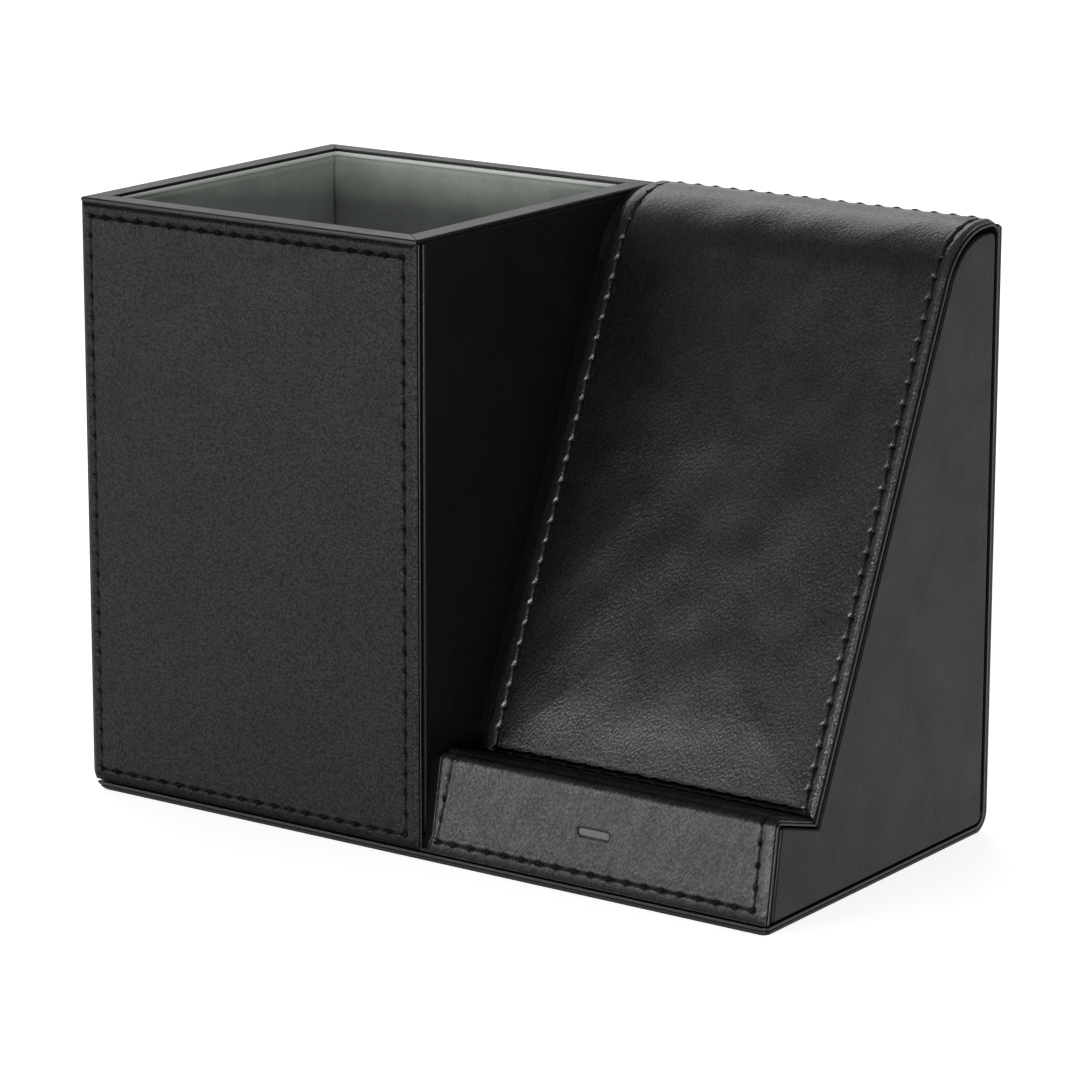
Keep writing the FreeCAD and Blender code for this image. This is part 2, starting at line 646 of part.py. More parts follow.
def coil_tray():
    """Shallow moulded tray with a screw ear on each side and a notch for the coil's lead."""
    tray = rounded_bar(REST_MIDDLE, COIL_RISE, TRAY_SIZE, TRAY_SIZE, TRAY_CORNER, GLUE, TRAY_DEPTH)
    for x, z in ear_places():
        tray = tray.fuse(rod(Vector(x, GLUE, z), BACKWARD, EAR_RADIUS, EAR_THICKNESS))
    pocket_size = TRAY_SIZE - 2 * TRAY_WALL
    pocket = rounded_bar(REST_MIDDLE, COIL_RISE, pocket_size, pocket_size,
                         TRAY_CORNER - TRAY_WALL, 0, TRAY_FLOOR)
    tray = tray.cut(pocket)
    for x, z in ear_places():
        tray = tray.cut(rod(Vector(x, 0, z), BACKWARD, SCREW_HOLE, EAR_THICKNESS + BOARD))
    half = LEAD_WIDTH / 2 + LEAD_PLAY
    deep = LEAD_DEPTH + LEAD_THICKNESS / 2 + LEAD_PLAY
    notch = block(REST_MIDDLE - half, REST_MIDDLE + half, 0, deep, 0, COIL_RISE)
    return on_slope(tray.cut(notch))


def charging_coil():
    """Flat ring of enamelled copper, glued to the back of the slope board."""
    middle = Vector(REST_MIDDLE, GLUE, COIL_RISE)
    outside = rod(middle, BACKWARD, COIL_OUTER, COIL_THICKNESS)
    return on_slope(outside.cut(rod(middle, BACKWARD, COIL_INNER, COIL_THICKNESS)))


def ferrite_plate():
    return on_slope(rounded_bar(REST_MIDDLE, COIL_RISE, FERRITE_SIZE, FERRITE_SIZE,
                                TRAY_CORNER - TRAY_WALL, FERRITE_FACE,
                                FERRITE_FACE + FERRITE_THICKNESS))


def screw(seat, into, bite):
    """A screw with its head on the seat and its shank going into what lies beyond."""
    head = rod(seat, into * -1, SCREW_HEAD_RADIUS, SCREW_HEAD)
    shank = rod(seat - into * (SCREW_HEAD / 2), into, SCREW_RADIUS, SCREW_HEAD / 2 + bite)
    return head.fuse(shank).removeSplitter()


def tray_screws():
    seat_depth = GLUE + EAR_THICKNESS
    screws = [screw(Vector(x, seat_depth, z), Vector(0, -1, 0), seat_depth + TRAY_SCREW_BITE)
              for x, z in ear_places()]
    return on_slope(Part.makeCompound(screws))


# ---- Circuit board and what it carries ---------------------------------------------------------------------
def spacer_places():
    x_reach = CIRCUIT_WIDTH / 2 - SPACER_INSET
    y_reach = CIRCUIT_DEPTH / 2 - SPACER_INSET
    return [(REST_MIDDLE + x_side * x_reach, CIRCUIT_MIDDLE + y_side * y_reach)
            for x_side in (-1, 1) for y_side in (-1, 1)]


def charger_board():
    x_side = CIRCUIT_WIDTH / 2
    outline = [(x, y, CIRCUIT_CORNER) for x, y in ring(
        REST_MIDDLE - x_side, REST_MIDDLE + x_side, CIRCUIT_FRONT, CIRCUIT_BACK)]
    board = prism(outline, in_xy(CIRCUIT_FOOT), Vector(0, 0, CIRCUIT_THICKNESS))
    for x, y in spacer_places():
        board = board.cut(rod(Vector(x, y, CIRCUIT_FOOT), UPWARD, SCREW_HOLE, CIRCUIT_THICKNESS))
    return board


def board_spacers():
    """Six-sided spacers, bored through for the board's screws."""
    spacers = []
    turn = 2 * math.pi / SPACER_SIDES
    for x, y in spacer_places():
        corners = [(x + SPACER_RADIUS * math.cos(turn * side),
                    y + SPACER_RADIUS * math.sin(turn * side)) for side in range(SPACER_SIDES)]
        spacer = prism(corners, in_xy(BASE_TOP), UPWARD * SPACER_HEIGHT)
        bore = rod(Vector(x, y, BASE_TOP), UPWARD, SCREW_RADIUS + SCREW_PLAY, SPACER_HEIGHT)
        spacers.append(spacer.cut(bore))
    return Part.makeCompound(spacers)


def board_screws():
    bite = CIRCUIT_THICKNESS + BOARD_SCREW_BITE
    return Part.makeCompound([screw(Vector(x, y, CIRCUIT_TOP), Vector(0, 0, -1), bite)
                              for x, y in spacer_places()])


def power_inductor():
    foot = Vector(REST_MIDDLE - CIRCUIT_WIDTH / 4, CIRCUIT_MIDDLE + PART_ROW, CIRCUIT_TOP)
    body = rod(foot, UPWARD, INDUCTOR_RADIUS, INDUCTOR_HEIGHT)
    return bevel(body, INDUCTOR_BEVEL, lies_at("z", CIRCUIT_TOP + INDUCTOR_HEIGHT))


def control_chip():
    x_middle, y_middle = REST_MIDDLE + CIRCUIT_WIDTH / 4, CIRCUIT_MIDDLE + PART_ROW
    half = CHIP_SIZE / 2
    return block(x_middle - half, x_middle + half, y_middle - half, y_middle + half,
                 CIRCUIT_TOP, CIRCUIT_TOP + CHIP_HEIGHT)


def capacitors():
    """A row of film capacitors, to the left and right of where the leads land."""
    x_size, y_size, z_size = CAPACITOR_SIZE
    y_start = CIRCUIT_MIDDLE - PART_ROW - y_size
    row = []
    for index in range(CAPACITOR_COUNT):
        side = -1 if index % 2 else 1
        place = index // 2 + 1
        x_middle = REST_MIDDLE + side * place * CAPACITOR_PITCH
        row.append(block(x_middle - x_size / 2, x_middle + x_size / 2, y_start, y_start + y_size,
                         CIRCUIT_TOP, CIRCUIT_TOP + z_size))
    return Part.makeCompound(row)


def usb_socket():
    """Metal shell with a round-ended mouth and the contact tongue inside it."""
    mouth = BACK - SOCKET_RECESS
    shell = inlet_bar(0, mouth - SOCKET_LENGTH, mouth)
    hollow = inlet_bar(-SOCKET_WALL, mouth - SOCKET_MOUTH, mouth)
    x_half, z_half = TONGUE_WIDTH / 2, TONGUE_HEIGHT / 2
    floor = mouth - SOCKET_MOUTH
    tongue = block(REST_MIDDLE - x_half, REST_MIDDLE + x_half, floor, floor + TONGUE_LENGTH,
                   SOCKET_MIDDLE - z_half, SOCKET_MIDDLE + z_half)
    return shell.cut(hollow).fuse(tongue).removeSplitter()


def inlet_bezel():
    """Round-ended ring that lines the window in the back round the socket."""
    face = BACK - BEZEL_RECESS
    ring_outer = inlet_bar(BEZEL_FIT + BEZEL_WALL, ROOM_BACK, face)
    bezel = ring_outer.cut(inlet_bar(BEZEL_FIT, ROOM_BACK, face))
    return bevel(bezel, BEZEL_BEVEL, lies_at("y", face))


# ---- Indicator lamp, built upright and leaned onto the lip ----------------------------------------------------
def indicator_lens():
    """Light pipe through the lip, with a flange behind the lip board."""
    light_pipe = lens_bar(0, LENS_RECESS, FLANGE_FACE)
    flange = lens_bar(LENS_FLANGE, FLANGE_FACE, FLANGE_FACE + FLANGE_THICKNESS)
    return on_lip(light_pipe.fuse(flange).removeSplitter())


def lamp_holder():
    """Frame round the flange, glued behind the lip board."""
    inside = LENS_FLANGE + HOLDER_FIT
    frame = lens_bar(inside + HOLDER_WALL, FLANGE_FACE, FLANGE_FACE + HOLDER_DEPTH)
    return on_lip(frame.cut(lens_bar(inside, FLANGE_FACE, FLANGE_FACE + HOLDER_DEPTH)))


def lamp_board():
    grow = LENS_FLANGE + HOLDER_FIT + HOLDER_WALL
    x_half, z_half = LENS_WIDTH / 2 + grow, LENS_HEIGHT / 2 + grow
    board = block(REST_MIDDLE - x_half, REST_MIDDLE + x_half, LAMP_BOARD_FACE,
                  LAMP_BOARD_FACE + LAMP_BOARD, LENS_RISE - z_half, LENS_RISE + z_half)
    return on_lip(board)


def indicator_lamp():
    x_half, depth, z_half = LAMP_SIZE[0] / 2, LAMP_SIZE[1], LAMP_SIZE[2] / 2
    lamp = block(REST_MIDDLE - x_half, REST_MIDDLE + x_half, LAMP_BOARD_FACE - depth,
                 LAMP_BOARD_FACE, LENS_RISE - z_half, LENS_RISE + z_half)
    return on_lip(lamp)


# ---- Internal leads ----------------------------------------------------------------------------------------------
def lead(route):
    """A flat lead along straight runs joined by arcs as large as the runs allow."""
    edges = []
    start = route[0]
    for behind, corner, ahead in zip(route, route[1:], route[2:]):
        to_behind, to_ahead = behind - corner, ahead - corner
        shorter = min(to_behind.Length, to_ahead.Length)
        half_turn = (math.pi - to_behind.getAngle(to_ahead)) / 2
        bend = BEND_SHARE * shorter / math.tan(half_turn)
        arc = rounded_turn(behind, corner, ahead, bend)
        edges.append(Part.makeLine(start, arc[0]))
        edges.append(Part.Arc(*arc).toShape())
        start = arc[2]
        print("lead bend radius", round(bend, 2))
    edges.append(Part.makeLine(start, route[-1]))
    side = Vector(LEAD_WIDTH / 2, 0, 0)
    face_side = (route[1] - route[0]).cross(side).normalize() * (LEAD_THICKNESS / 2)
    corners = [start_side + end_side for start_side, end_side in (
        (side, face_side), (side, -face_side), (-side, -face_side), (-side, face_side))]
    section = Part.makePolygon([route[0] + corner for corner in corners + corners[:1]])
    return Part.Wire(edges).makePipe(Part.Face(section))


def point_on(lean, place):
    """A single point, moved as a piece built upright would be."""
    return lean(Part.Vertex(place)).Point


def coil_lead():
    """From the outer turn of the coil, out through the notch and down to the circuit board."""
    tray_foot = COIL_RISE - TRAY_SIZE / 2
    x = REST_MIDDLE
    y = CIRCUIT_FRONT + COIL_LANDING
    route = [
        point_on(on_slope, Vector(x, LEAD_DEPTH, COIL_RISE - COIL_OUTER - GLUE)),
        point_on(on_slope, Vector(x, LEAD_DEPTH, tray_foot - LEAD_DIP)),
        Vector(x, y, CIRCUIT_TOP + LEAD_RISE),
        Vector(x, y, CIRCUIT_TOP),
    ]
    return lead(route)


def lamp_lead():
    """From the back of the lamp's board up over the front edge of the circuit board."""
    x = REST_MIDDLE - LAMP_LEAD_SIDE
    y = CIRCUIT_FRONT + LAMP_LANDING
    start = LAMP_BOARD_FACE + LAMP_BOARD
    route = [
        point_on(on_lip, Vector(x, start, LENS_RISE)),
        point_on(on_lip, Vector(x, start + LEAD_RUN, LENS_RISE)),
        Vector(x, y, CIRCUIT_TOP + LEAD_RISE),
        Vector(x, y, CIRCUIT_TOP),
    ]
    return lead(route)


# ---- The whole stand ------------------------------------------------------------------------------------------------
def all_parts():
    parts = {
        "base_skin": base_sheet(0, CASE_SKIN),
        "base_ply": base_sheet(CASE_SKIN + GLUE, CASE),
        "base_board": base_board(),
        "back_skin": back_sheet(0, CASE_SKIN),
        "back_ply": back_sheet(CASE_SKIN + GLUE, CASE),
        "cup_front_board": cup_wall(WALL_LEFT, WALL_RIGHT, WALL_FRONT, ROOM_FRONT),
        "cup_back_board": cup_wall(WALL_LEFT, WALL_RIGHT, ROOM_BACK, WALL_BACK),
        "cup_left_board": cup_wall(WALL_LEFT, ROOM_LEFT, ROOM_FRONT, ROOM_BACK),
        "cup_right_board": cup_wall(ROOM_RIGHT, WALL_RIGHT, ROOM_FRONT, ROOM_BACK),
        "cup_front_skin": cup_front_skin(),
        "cup_front_ply": cup_front_ply(),
        "cup_left_panel": cup_left_panel(),
        "cup_right_panel": cup_right_panel(),
        "slope_skin": slope_skin(),
        "slope_ply": slope_ply(),
        "lip_skin": lip_skin(),
        "lip_ply": lip_ply(),
        "lip_board": lip_board(),
        "ledge_board": rest_board(["lip_top", "crease"]),
        "slope_board": slope_board(),
        "top_rail": top_rail(),
        "rest_back_board": rest_back_board(),
        "end_board": end_board(),
        "end_panel": end_panel(),
        "coil_tray": coil_tray(),
        "charging_coil": charging_coil(),
        "ferrite_plate": ferrite_plate(),
        "tray_screws": tray_screws(),
        "charger_board": charger_board(),
        "board_spacers": board_spacers(),
        "board_screws": board_screws(),
        "power_inductor": power_inductor(),
        "control_chip": control_chip(),
        "capacitors": capacitors(),
        "usb_socket": usb_socket(),
        "inlet_bezel": inlet_bezel(),
        "indicator_lens": indicator_lens(),
        "lamp_holder": lamp_holder(),
        "lamp_board": lamp_board(),
        "indicator_lamp": indicator_lamp(),
        "coil_lead": coil_lead(),
        "lamp_lead": lamp_lead(),
    }
    for side, strip in rim_strips().items():
        parts["rim_binding_" + side] = strip
    for side, panel in linings().items():
        parts["lining_" + side] = panel
    return parts


os.makedirs("parts", exist_ok=True)
for name, shape in all_parts().items():
    shape.exportStep(os.path.join("parts", name + ".step"))
    print(name, "solids", len(shape.Solids), "valid", shape.isValid(), "mm3", round(shape.Volume, 1))
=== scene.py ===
import json
import math
from functools import partial

import bmesh
import bpy
import numpy as np
from mathutils import Matrix, Vector


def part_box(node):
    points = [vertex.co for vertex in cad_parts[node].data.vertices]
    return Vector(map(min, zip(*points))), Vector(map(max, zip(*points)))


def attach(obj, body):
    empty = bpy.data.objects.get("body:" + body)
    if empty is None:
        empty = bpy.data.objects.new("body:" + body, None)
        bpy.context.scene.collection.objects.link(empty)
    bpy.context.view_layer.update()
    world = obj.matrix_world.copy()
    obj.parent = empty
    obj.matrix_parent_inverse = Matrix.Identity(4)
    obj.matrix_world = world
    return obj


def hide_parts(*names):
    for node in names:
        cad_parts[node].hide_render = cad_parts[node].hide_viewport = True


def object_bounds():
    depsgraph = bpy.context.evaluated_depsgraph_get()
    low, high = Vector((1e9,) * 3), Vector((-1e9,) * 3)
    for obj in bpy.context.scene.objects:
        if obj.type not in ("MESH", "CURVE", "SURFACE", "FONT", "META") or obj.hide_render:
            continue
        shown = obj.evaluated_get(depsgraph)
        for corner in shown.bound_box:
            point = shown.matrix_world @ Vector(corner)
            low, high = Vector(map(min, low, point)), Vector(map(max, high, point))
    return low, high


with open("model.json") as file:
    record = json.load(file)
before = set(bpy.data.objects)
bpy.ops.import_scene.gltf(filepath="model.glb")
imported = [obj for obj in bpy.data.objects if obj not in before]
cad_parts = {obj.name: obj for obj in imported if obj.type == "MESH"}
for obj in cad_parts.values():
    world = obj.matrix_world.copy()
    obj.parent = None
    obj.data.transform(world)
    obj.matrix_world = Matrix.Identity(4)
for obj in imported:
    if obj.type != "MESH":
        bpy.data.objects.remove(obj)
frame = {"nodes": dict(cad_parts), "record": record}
cad_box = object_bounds()

# A leather-covered desk stand: an open pen cup with a pale lining, and beside it a leaning
# phone rest with a stitched lip. Sizes are in millimetres and angles in degrees, as the
# stand is built; MM turns them into the metres of the frame.
MM = 0.001


def span(node):
    """Lowest and highest corner of a node of the frame, in millimetres."""
    low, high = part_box(node)
    return [value / MM for value in low], [value / MM for value in high]


# ---- Places read from the frame ----
CUP_SKIN_LOW, CUP_SKIN_HIGH = span("cup_front_skin")
SLOPE_SKIN_LOW, SLOPE_SKIN_HIGH = span("slope_skin")
LIP_SKIN_LOW, LIP_SKIN_HIGH = span("lip_skin")
STAND_LOW, STAND_HIGH = ([value / MM for value in corner] for corner in cad_box)

FRONT, BACK = STAND_LOW[1], STAND_HIGH[1]
COVER_FOOT = LIP_SKIN_LOW[2]
REST_HEIGHT = STAND_HIGH[2]
REST_LEFT = SLOPE_SKIN_LOW[0]
REST_MIDDLE = (LIP_SKIN_LOW[0] + STAND_HIGH[0]) / 2
BACK_SEAM = SLOPE_SKIN_HIGH[1]       # where the slope's leather meets the back
BACK_TOP = span("back_skin")[1][2]   # top edge of the sheets on the back
SLOTS = {part["node"]: part["material_slot"] for part in frame["record"]["subparts"]}

# ---- The rest's profile, as it is cut ----
LIP_HEIGHT = 21.6         # desk to the top of the lip
LIP_LEAN = 8.9
LEDGE_DEPTH = 13.1
LEDGE_TILT = 15.4
FOLD_RADIUS = 1.8
ROLL_RADIUS = 16.0
TOP_FLAT = 2.0
BACK_TOP_RADIUS = 4.0
EDGE_RADIUS = 4.0         # rounded lower edge at the left,
CORNER_WIDTH = 2.0        # and how much of the leather gives way to it
LENS_RISE = 10.2          # foot of the lip to the middle of the lens, along the lip
LENS_SLOT = (7.20, 1.40)

# ---- Stitches ----
CUP_SEAMS = (-77.7, -1.75, 4.3, 116.45)   # left, right, foot and head of the cup's rows
STITCH_PITCH = 4.06       # hole to hole
STITCH_SLANT = 10.0       # turn of each stitch off its row
STITCH_STRAY = 0.05       # and how far that varies, in radians
STITCH_REACH = 0.40       # half the length of a stitch, in pitches
STITCH_SINK = 0.75        # how deep its ends dive into the holes
STITCH_RISE = 0.10        # and how high its crown stands
THREAD_RADIUS = 0.22
THREAD_DEPTH = 0.30       # thread below the face of the leather
CREST_DEPTH = -0.10       # and proud of it, where it crosses the crest

# ---- Leather over its padding ----
SKIN = 0.6                # thickness of a stitched skin
SEAM_WIDTH = 0.20         # half width of the pressed line under a row of stitches
SEAM_SPREAD = 0.6         # and how much wider it is at a hole
SEAM_POWER = 2.4          # steepness of its sides
SEAM_DEPTH = 0.28
SEAM_SHARES = (0.7, 0.3)  # share of the depth all along, and more at the holes
FOLD_RISE = 0.10          # fine fold beside the pressed line,
HOLE_PULL = (1.0, 1.0)    # how far round a hole the thread draws the leather down
HOLE_RADIUS, HOLE_DEPTH = 0.37, 0.75
HOLE_FLOOR = -0.54        # the needle holes end inside the skin
RIDGE_RISE = 0.09         # short ridge pushed up beside each hole
RIDGE_SIZE = (0.55, 0.30)
LEVEL_RIDGE = ((-0.74, -0.60), (0.77, -0.64))   # shift and heading, below a level row,
UPRIGHT_RIDGE = ((-0.70, 0.32), (0.64, 0.77))   # and inside an upright one,
UPRIGHT_SHARE = 0.4       # where it is lower

# ---- Where leather is dulled by wax, dust and painted shade, or given painted highlights ----
# dull along the stitches and in the holes: partly wax and dust, partly painted shade; the hem's
# dullness is painted shade
SEAM_DUST_AND_PAINTED_SHADE, HOLE_DUST_AND_PAINTED_SHADE, HEM_PAINTED_SHADE = 0.75, 1.3, 0.45
HEM_FADE = 0.5            # below the foot seam, and as much again until the hem is dull with painted shade
# painted highlight: shine raised on the ridges beside the holes
RIDGE_PAINTED_HIGHLIGHT = 2.0
EDGE_PAINTED_HIGHLIGHT = 0.9          # painted highlight: shine raised on a skin's rolled edge

# ---- Lining ----
PAD = 1.35                # thickness of a pad behind its face
PAD_SWELL = 0.45
PAD_UNEVENNESS = 0.12
CORD_RISE = 0.30          # the roll at its top
PIPING_RADIUS = 0.42      # covered cord round the lining's top,
PIPING_TURN = 0.7         # how it turns the corners,
PIPING_LIFT = 0.35        # and its middle above that top

# ---- Spacing of the skins' meshes ----
GRID = 0.62               # widest step
EDGE_STEPS = np.array((0.0, 0.06, 0.20, 0.38, 0.6, 0.9, 1.25))  # in from a rolled edge
HOLE_STEPS = np.array((-0.95, -0.70, -0.46, -0.23, 0.0, 0.23, 0.46, 0.70))
SEAM_STEPS = np.array((-1.3, -1.0, 0.95, 1.25))

# ---- Room ----
TABLE_HALF = 1.6
TABLE_LIFT = 0.68         # glow that the eye sees in the table
WORLD_LIGHT = 0.35        # of the white world, on what scatters it
ROOM_GLOW = 0.24          # of the room in front, in what mirrors it
BACKDROP_SIDE = (-0.576, 0.817, -0.60)    # from the stand to the backdrop


# ---- Objects ----
def put(name, data):
    """A new object in the scene."""
    made = bpy.data.objects.new(name, data)
    bpy.context.scene.collection.objects.link(made)
    return made


def bake(made):
    """The mesh that an object's modifiers make of it."""
    bpy.context.view_layer.update()
    evaluated = made.evaluated_get(bpy.context.evaluated_depsgraph_get())
    return bpy.data.meshes.new_from_object(evaluated)


def tie(made, node=None):
    """Tie a piece to the stand, and hide the node that it replaces."""
    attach(made, "root")
    if node:
        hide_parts(node)


def store(mesh, name, kind, key, values):
    """Store a value at each point of a mesh."""
    mesh.attributes.new(name, kind, "POINT").data.foreach_set(key, values)


# ---- Drawing a sheet over a surface ----
def run_along(points):
    """How far along a line each of its points lies."""
    return np.concatenate([[0], np.cumsum(np.linalg.norm(np.diff(points, axis=0), axis=1))])


def turned_path(corners, step=0.1):
    """Samples of a line through corners (y, z, radius): place, outward normal, run so far."""
    points, normals = [], []

    def lay(point, travel):
        points.append(point)
        normals.append((-travel[1], travel[0]))

    places = [np.array(corner[:2], float) for corner in corners]
    radii = [corner[2] if len(corner) > 2 else 0.0 for corner in corners]
    start = places[0]
    for index in range(1, len(places)):
        travel = places[index] - places[index - 1]
        travel = travel / np.linalg.norm(travel)
        stop, turn = places[index], 0.0
        if index + 1 < len(places):
            ahead = places[index + 1] - places[index]
            ahead = ahead / np.linalg.norm(ahead)
            turn = math.atan2(travel[0] * ahead[1] - travel[1] * ahead[0], travel @ ahead)
            stop = places[index] - travel * radii[index] * math.tan(abs(turn) / 2)
        for share in np.linspace(0, 1, max(2, int(np.linalg.norm(stop - start) / step))):
            lay(start + (stop - start) * share, travel)
        start = stop
        if radii[index] and turn:
            side = np.array([-travel[1], travel[0]]) * math.copysign(1, turn)
            centre = stop + side * radii[index]
            count = max(3, int(radii[index] * abs(turn) / step))
            for share in np.linspace(0, 1, count)[1:]:
                cosine, sine = math.cos(turn * share), math.sin(turn * share)
                spin = np.array([[cosine, -sine], [sine, cosine]])
                start = centre + spin @ (stop - centre)
                lay(start, spin @ travel)
    points, normals = np.array(points), np.array(normals)
    return points, normals, run_along(points)


def along_profile(corners):
    """A placing function for a sheet that follows a profile from side to side of the rest."""
    points, normals, run = turned_path(corners)

    def place(across, along, lift):
        y, z, out_y, out_z = (np.interp(along, run, values) for values in
                              (points[:, 0], points[:, 1], normals[:, 0], normals[:, 1]))
        return np.stack([across, y + out_y * lift, z + out_z * lift], axis=-1)
    place.length = run[-1]
    place.run_at = lambda axis, value: run[int(np.argmin(abs(points[:, axis] - value)))]
    return place


def on_plane(origin, across_axis, along_axis):
    """A placing function for a flat sheet with its corner at origin."""
    origin, a, b = (np.array(value, float) for value in (origin, across_axis, along_axis))
    out = np.cross(a, b)

    def place(across, along, lift):
        return (origin + across[..., None] * a + along[..., None] * b + lift[..., None] * out)
    return place


def mesh_lines(start, stop, holes=(), seams=(), spacing=GRID):
    """Mesh lines from start to stop, close at the rolled ends and round holes and seams."""
    fixed = [start + EDGE_STEPS, stop - EDGE_STEPS]
    fixed += [hole + HOLE_STEPS for hole in holes] + [seam + SEAM_STEPS for seam in seams]
    lines = []
    for value in np.unique(np.concatenate(fixed)):
        if start <= value <= stop and (not lines or value - lines[-1] > EDGE_STEPS[1] * 0.9):
            lines.append(value)
    lines[-1] = stop
    filled = []
    for here, following in zip(lines, lines[1:]):
        parts = max(1, math.ceil((following - here) / spacing))
        filled += [here + (following - here) * part / parts for part in range(parts)]
    return np.array(filled + [stop])


def shell(name, place, across, along, lift, thickness, material, dust_and_painted_light=None):
    """A closed sheet: a shaped face over a grid, straight sides and a plain back.

    The last argument, over the grid, dulls the face from 0 to 1 with wax, dust and painted
    shade, or gives it a painted highlight from 0 to -1.
    """
    rows, columns = lift.shape
    face = place(across, along, lift)
    edge = np.zeros((rows, columns), bool)
    edge[[0, -1], :] = True
    edge[:, [0, -1]] = True
    under = place(across, along, np.full_like(lift, -thickness))
    number = np.arange(rows * columns).reshape(rows, columns)
    below = np.full((rows, columns), -1)
    below[edge] = rows * columns + np.arange(edge.sum())
    points = np.concatenate([face.reshape(-1, 3), under[edge]]) * MM

    faces = np.stack([number[:-1, :-1], number[:-1, 1:], number[1:, 1:], number[1:, :-1]],
                     -1).reshape(-1, 4).tolist()

    def around(grid):
        return np.concatenate([grid[0, :-1], grid[:-1, -1], grid[-1, :0:-1], grid[:0:-1, 0]])
    rim, base = around(number), around(below)
    faces += np.stack([np.roll(rim, -1), rim, base, np.roll(base, -1)], -1).tolist()
    for row in range(rows - 1):
        low = below[row] if row == 0 else below[row][[0, -1]]
        high = below[row + 1] if row == rows - 2 else below[row + 1][[0, -1]]
        faces.append(high.tolist() + low[::-1].tolist())

    mesh = bpy.data.meshes.new(name)
    mesh.from_pydata(points.tolist(), [], faces)
    flat = np.stack(np.broadcast_arrays(across, along, lift)[:2], -1)
    flat = np.concatenate([flat.reshape(-1, 2), flat[edge]]) * MM
    corners = np.zeros(len(mesh.loops), np.int32)
    mesh.loops.foreach_get("vertex_index", corners)
    mesh.uv_layers.new(name="hide").data.foreach_set("uv", flat[corners].ravel())
    if dust_and_painted_light is not None:
        store(mesh, "dust_and_painted_light", "FLOAT", "value",
             np.concatenate([dust_and_painted_light.ravel(), dust_and_painted_light[edge]]))
    mesh.shade_smooth()
    mesh.set_sharp_from_angle(angle=math.radians(50))
    mesh.materials.append(material)
    return put(name, mesh)


# ---- How leather lies over its padding ----
def rumple(across, along, size, seed, lean=0.0, stretch=1.0):
    """Soft uneven swelling between -1 and 1, with lumps about size wide, from summed waves."""
    chance = np.random.default_rng(seed)
    cosine, sine = math.cos(math.radians(lean)), math.sin(math.radians(lean))
    a = (across * cosine + along * sine) / stretch
    b = along * cosine - across * sine
    total = np.zeros(np.broadcast(a, b).shape)
    waves = 14
    for _ in range(waves):
        heading, phase = chance.uniform(0, 2 * math.pi, 2)
        width = size * chance.uniform(0.7, 1.9)
        total += np.sin(2 * math.pi * (a * math.cos(heading) + b * math.sin(heading)) / width
                        + phase)
    return total / math.sqrt(waves * 2)


def hump(offset, width):
    """1 at no offset, falling softly to nothing about two widths away."""
    return np.exp(-(offset / width) ** 2)


def rise(inward, width, power):
    """0 up to an edge, then rising towards 1, mostly within the width."""
    return 1 - np.exp(-(np.clip(inward, 0, None) / width) ** power)


def settled(inside, reach):
    """0 at the stitches, which hold leather down, and 1 from the reach inwards."""
    return np.clip(inside / reach, 0, 1)


def inset(across, along, left, right, foot, head=np.inf):
    """Distance in from the nearest of four sides."""
    return np.minimum(np.minimum(across - left, right - across),
                      np.minimum(along - foot, head - along))


def border(left, right, foot, head):
    """Rows of stitches round a panel: along its foot, up, back along its head, and down."""
    corners = [(left, foot), (right, foot), (right, head), (left, head)]
    return list(zip(corners, corners[1:] + corners[:1]))


def spread(row, count_for):
    """Points evenly spread along a row, from its corners (across, along)."""
    row = np.array(row, float)
    run = run_along(row)
    marks = np.linspace(0, run[-1], count_for(run[-1]))
    return np.stack([np.interp(marks, run, row[:, axis]) for axis in (0, 1)], -1)


def row_holes(row):
    """Places of the needle holes along a row."""
    return spread(row, lambda length: int(round(length / STITCH_PITCH)) + 1)


def spots(across, along, places, size, heading=(1.0, 0.0)):
    """Soft spots at the places, long and wide as size: 1 in their middle, 0 well outside."""
    total = np.zeros(np.broadcast(across, along).shape)
    for u, v in places:
        ahead = (across - u) * heading[0] + (along - v) * heading[1]
        beside = (along - v) * heading[0] - (across - u) * heading[1]
        total = np.maximum(total, np.exp(-(ahead / size[0]) ** 2 - (beside / size[1]) ** 2))
    return total


def row_ridges(across, along, holes):
    """Short slanting ridges beside the holes of a row: below them, or inside an upright row."""
    wide, high = abs(holes[-1] - holes[0])
    (shift, heading), share = (LEVEL_RIDGE, 1) if wide > high else (UPRIGHT_RIDGE, UPRIGHT_SHARE)
    return share * spots(across, along, holes + np.array(shift), RIDGE_SIZE, heading)


def rolled_drop(inward, radius, most):
    """How far a rounded edge has dropped at a distance in from the edge."""
    reach = np.clip(radius - inward, 0, radius)
    return np.minimum(radius - np.sqrt(radius ** 2 - reach ** 2), most)


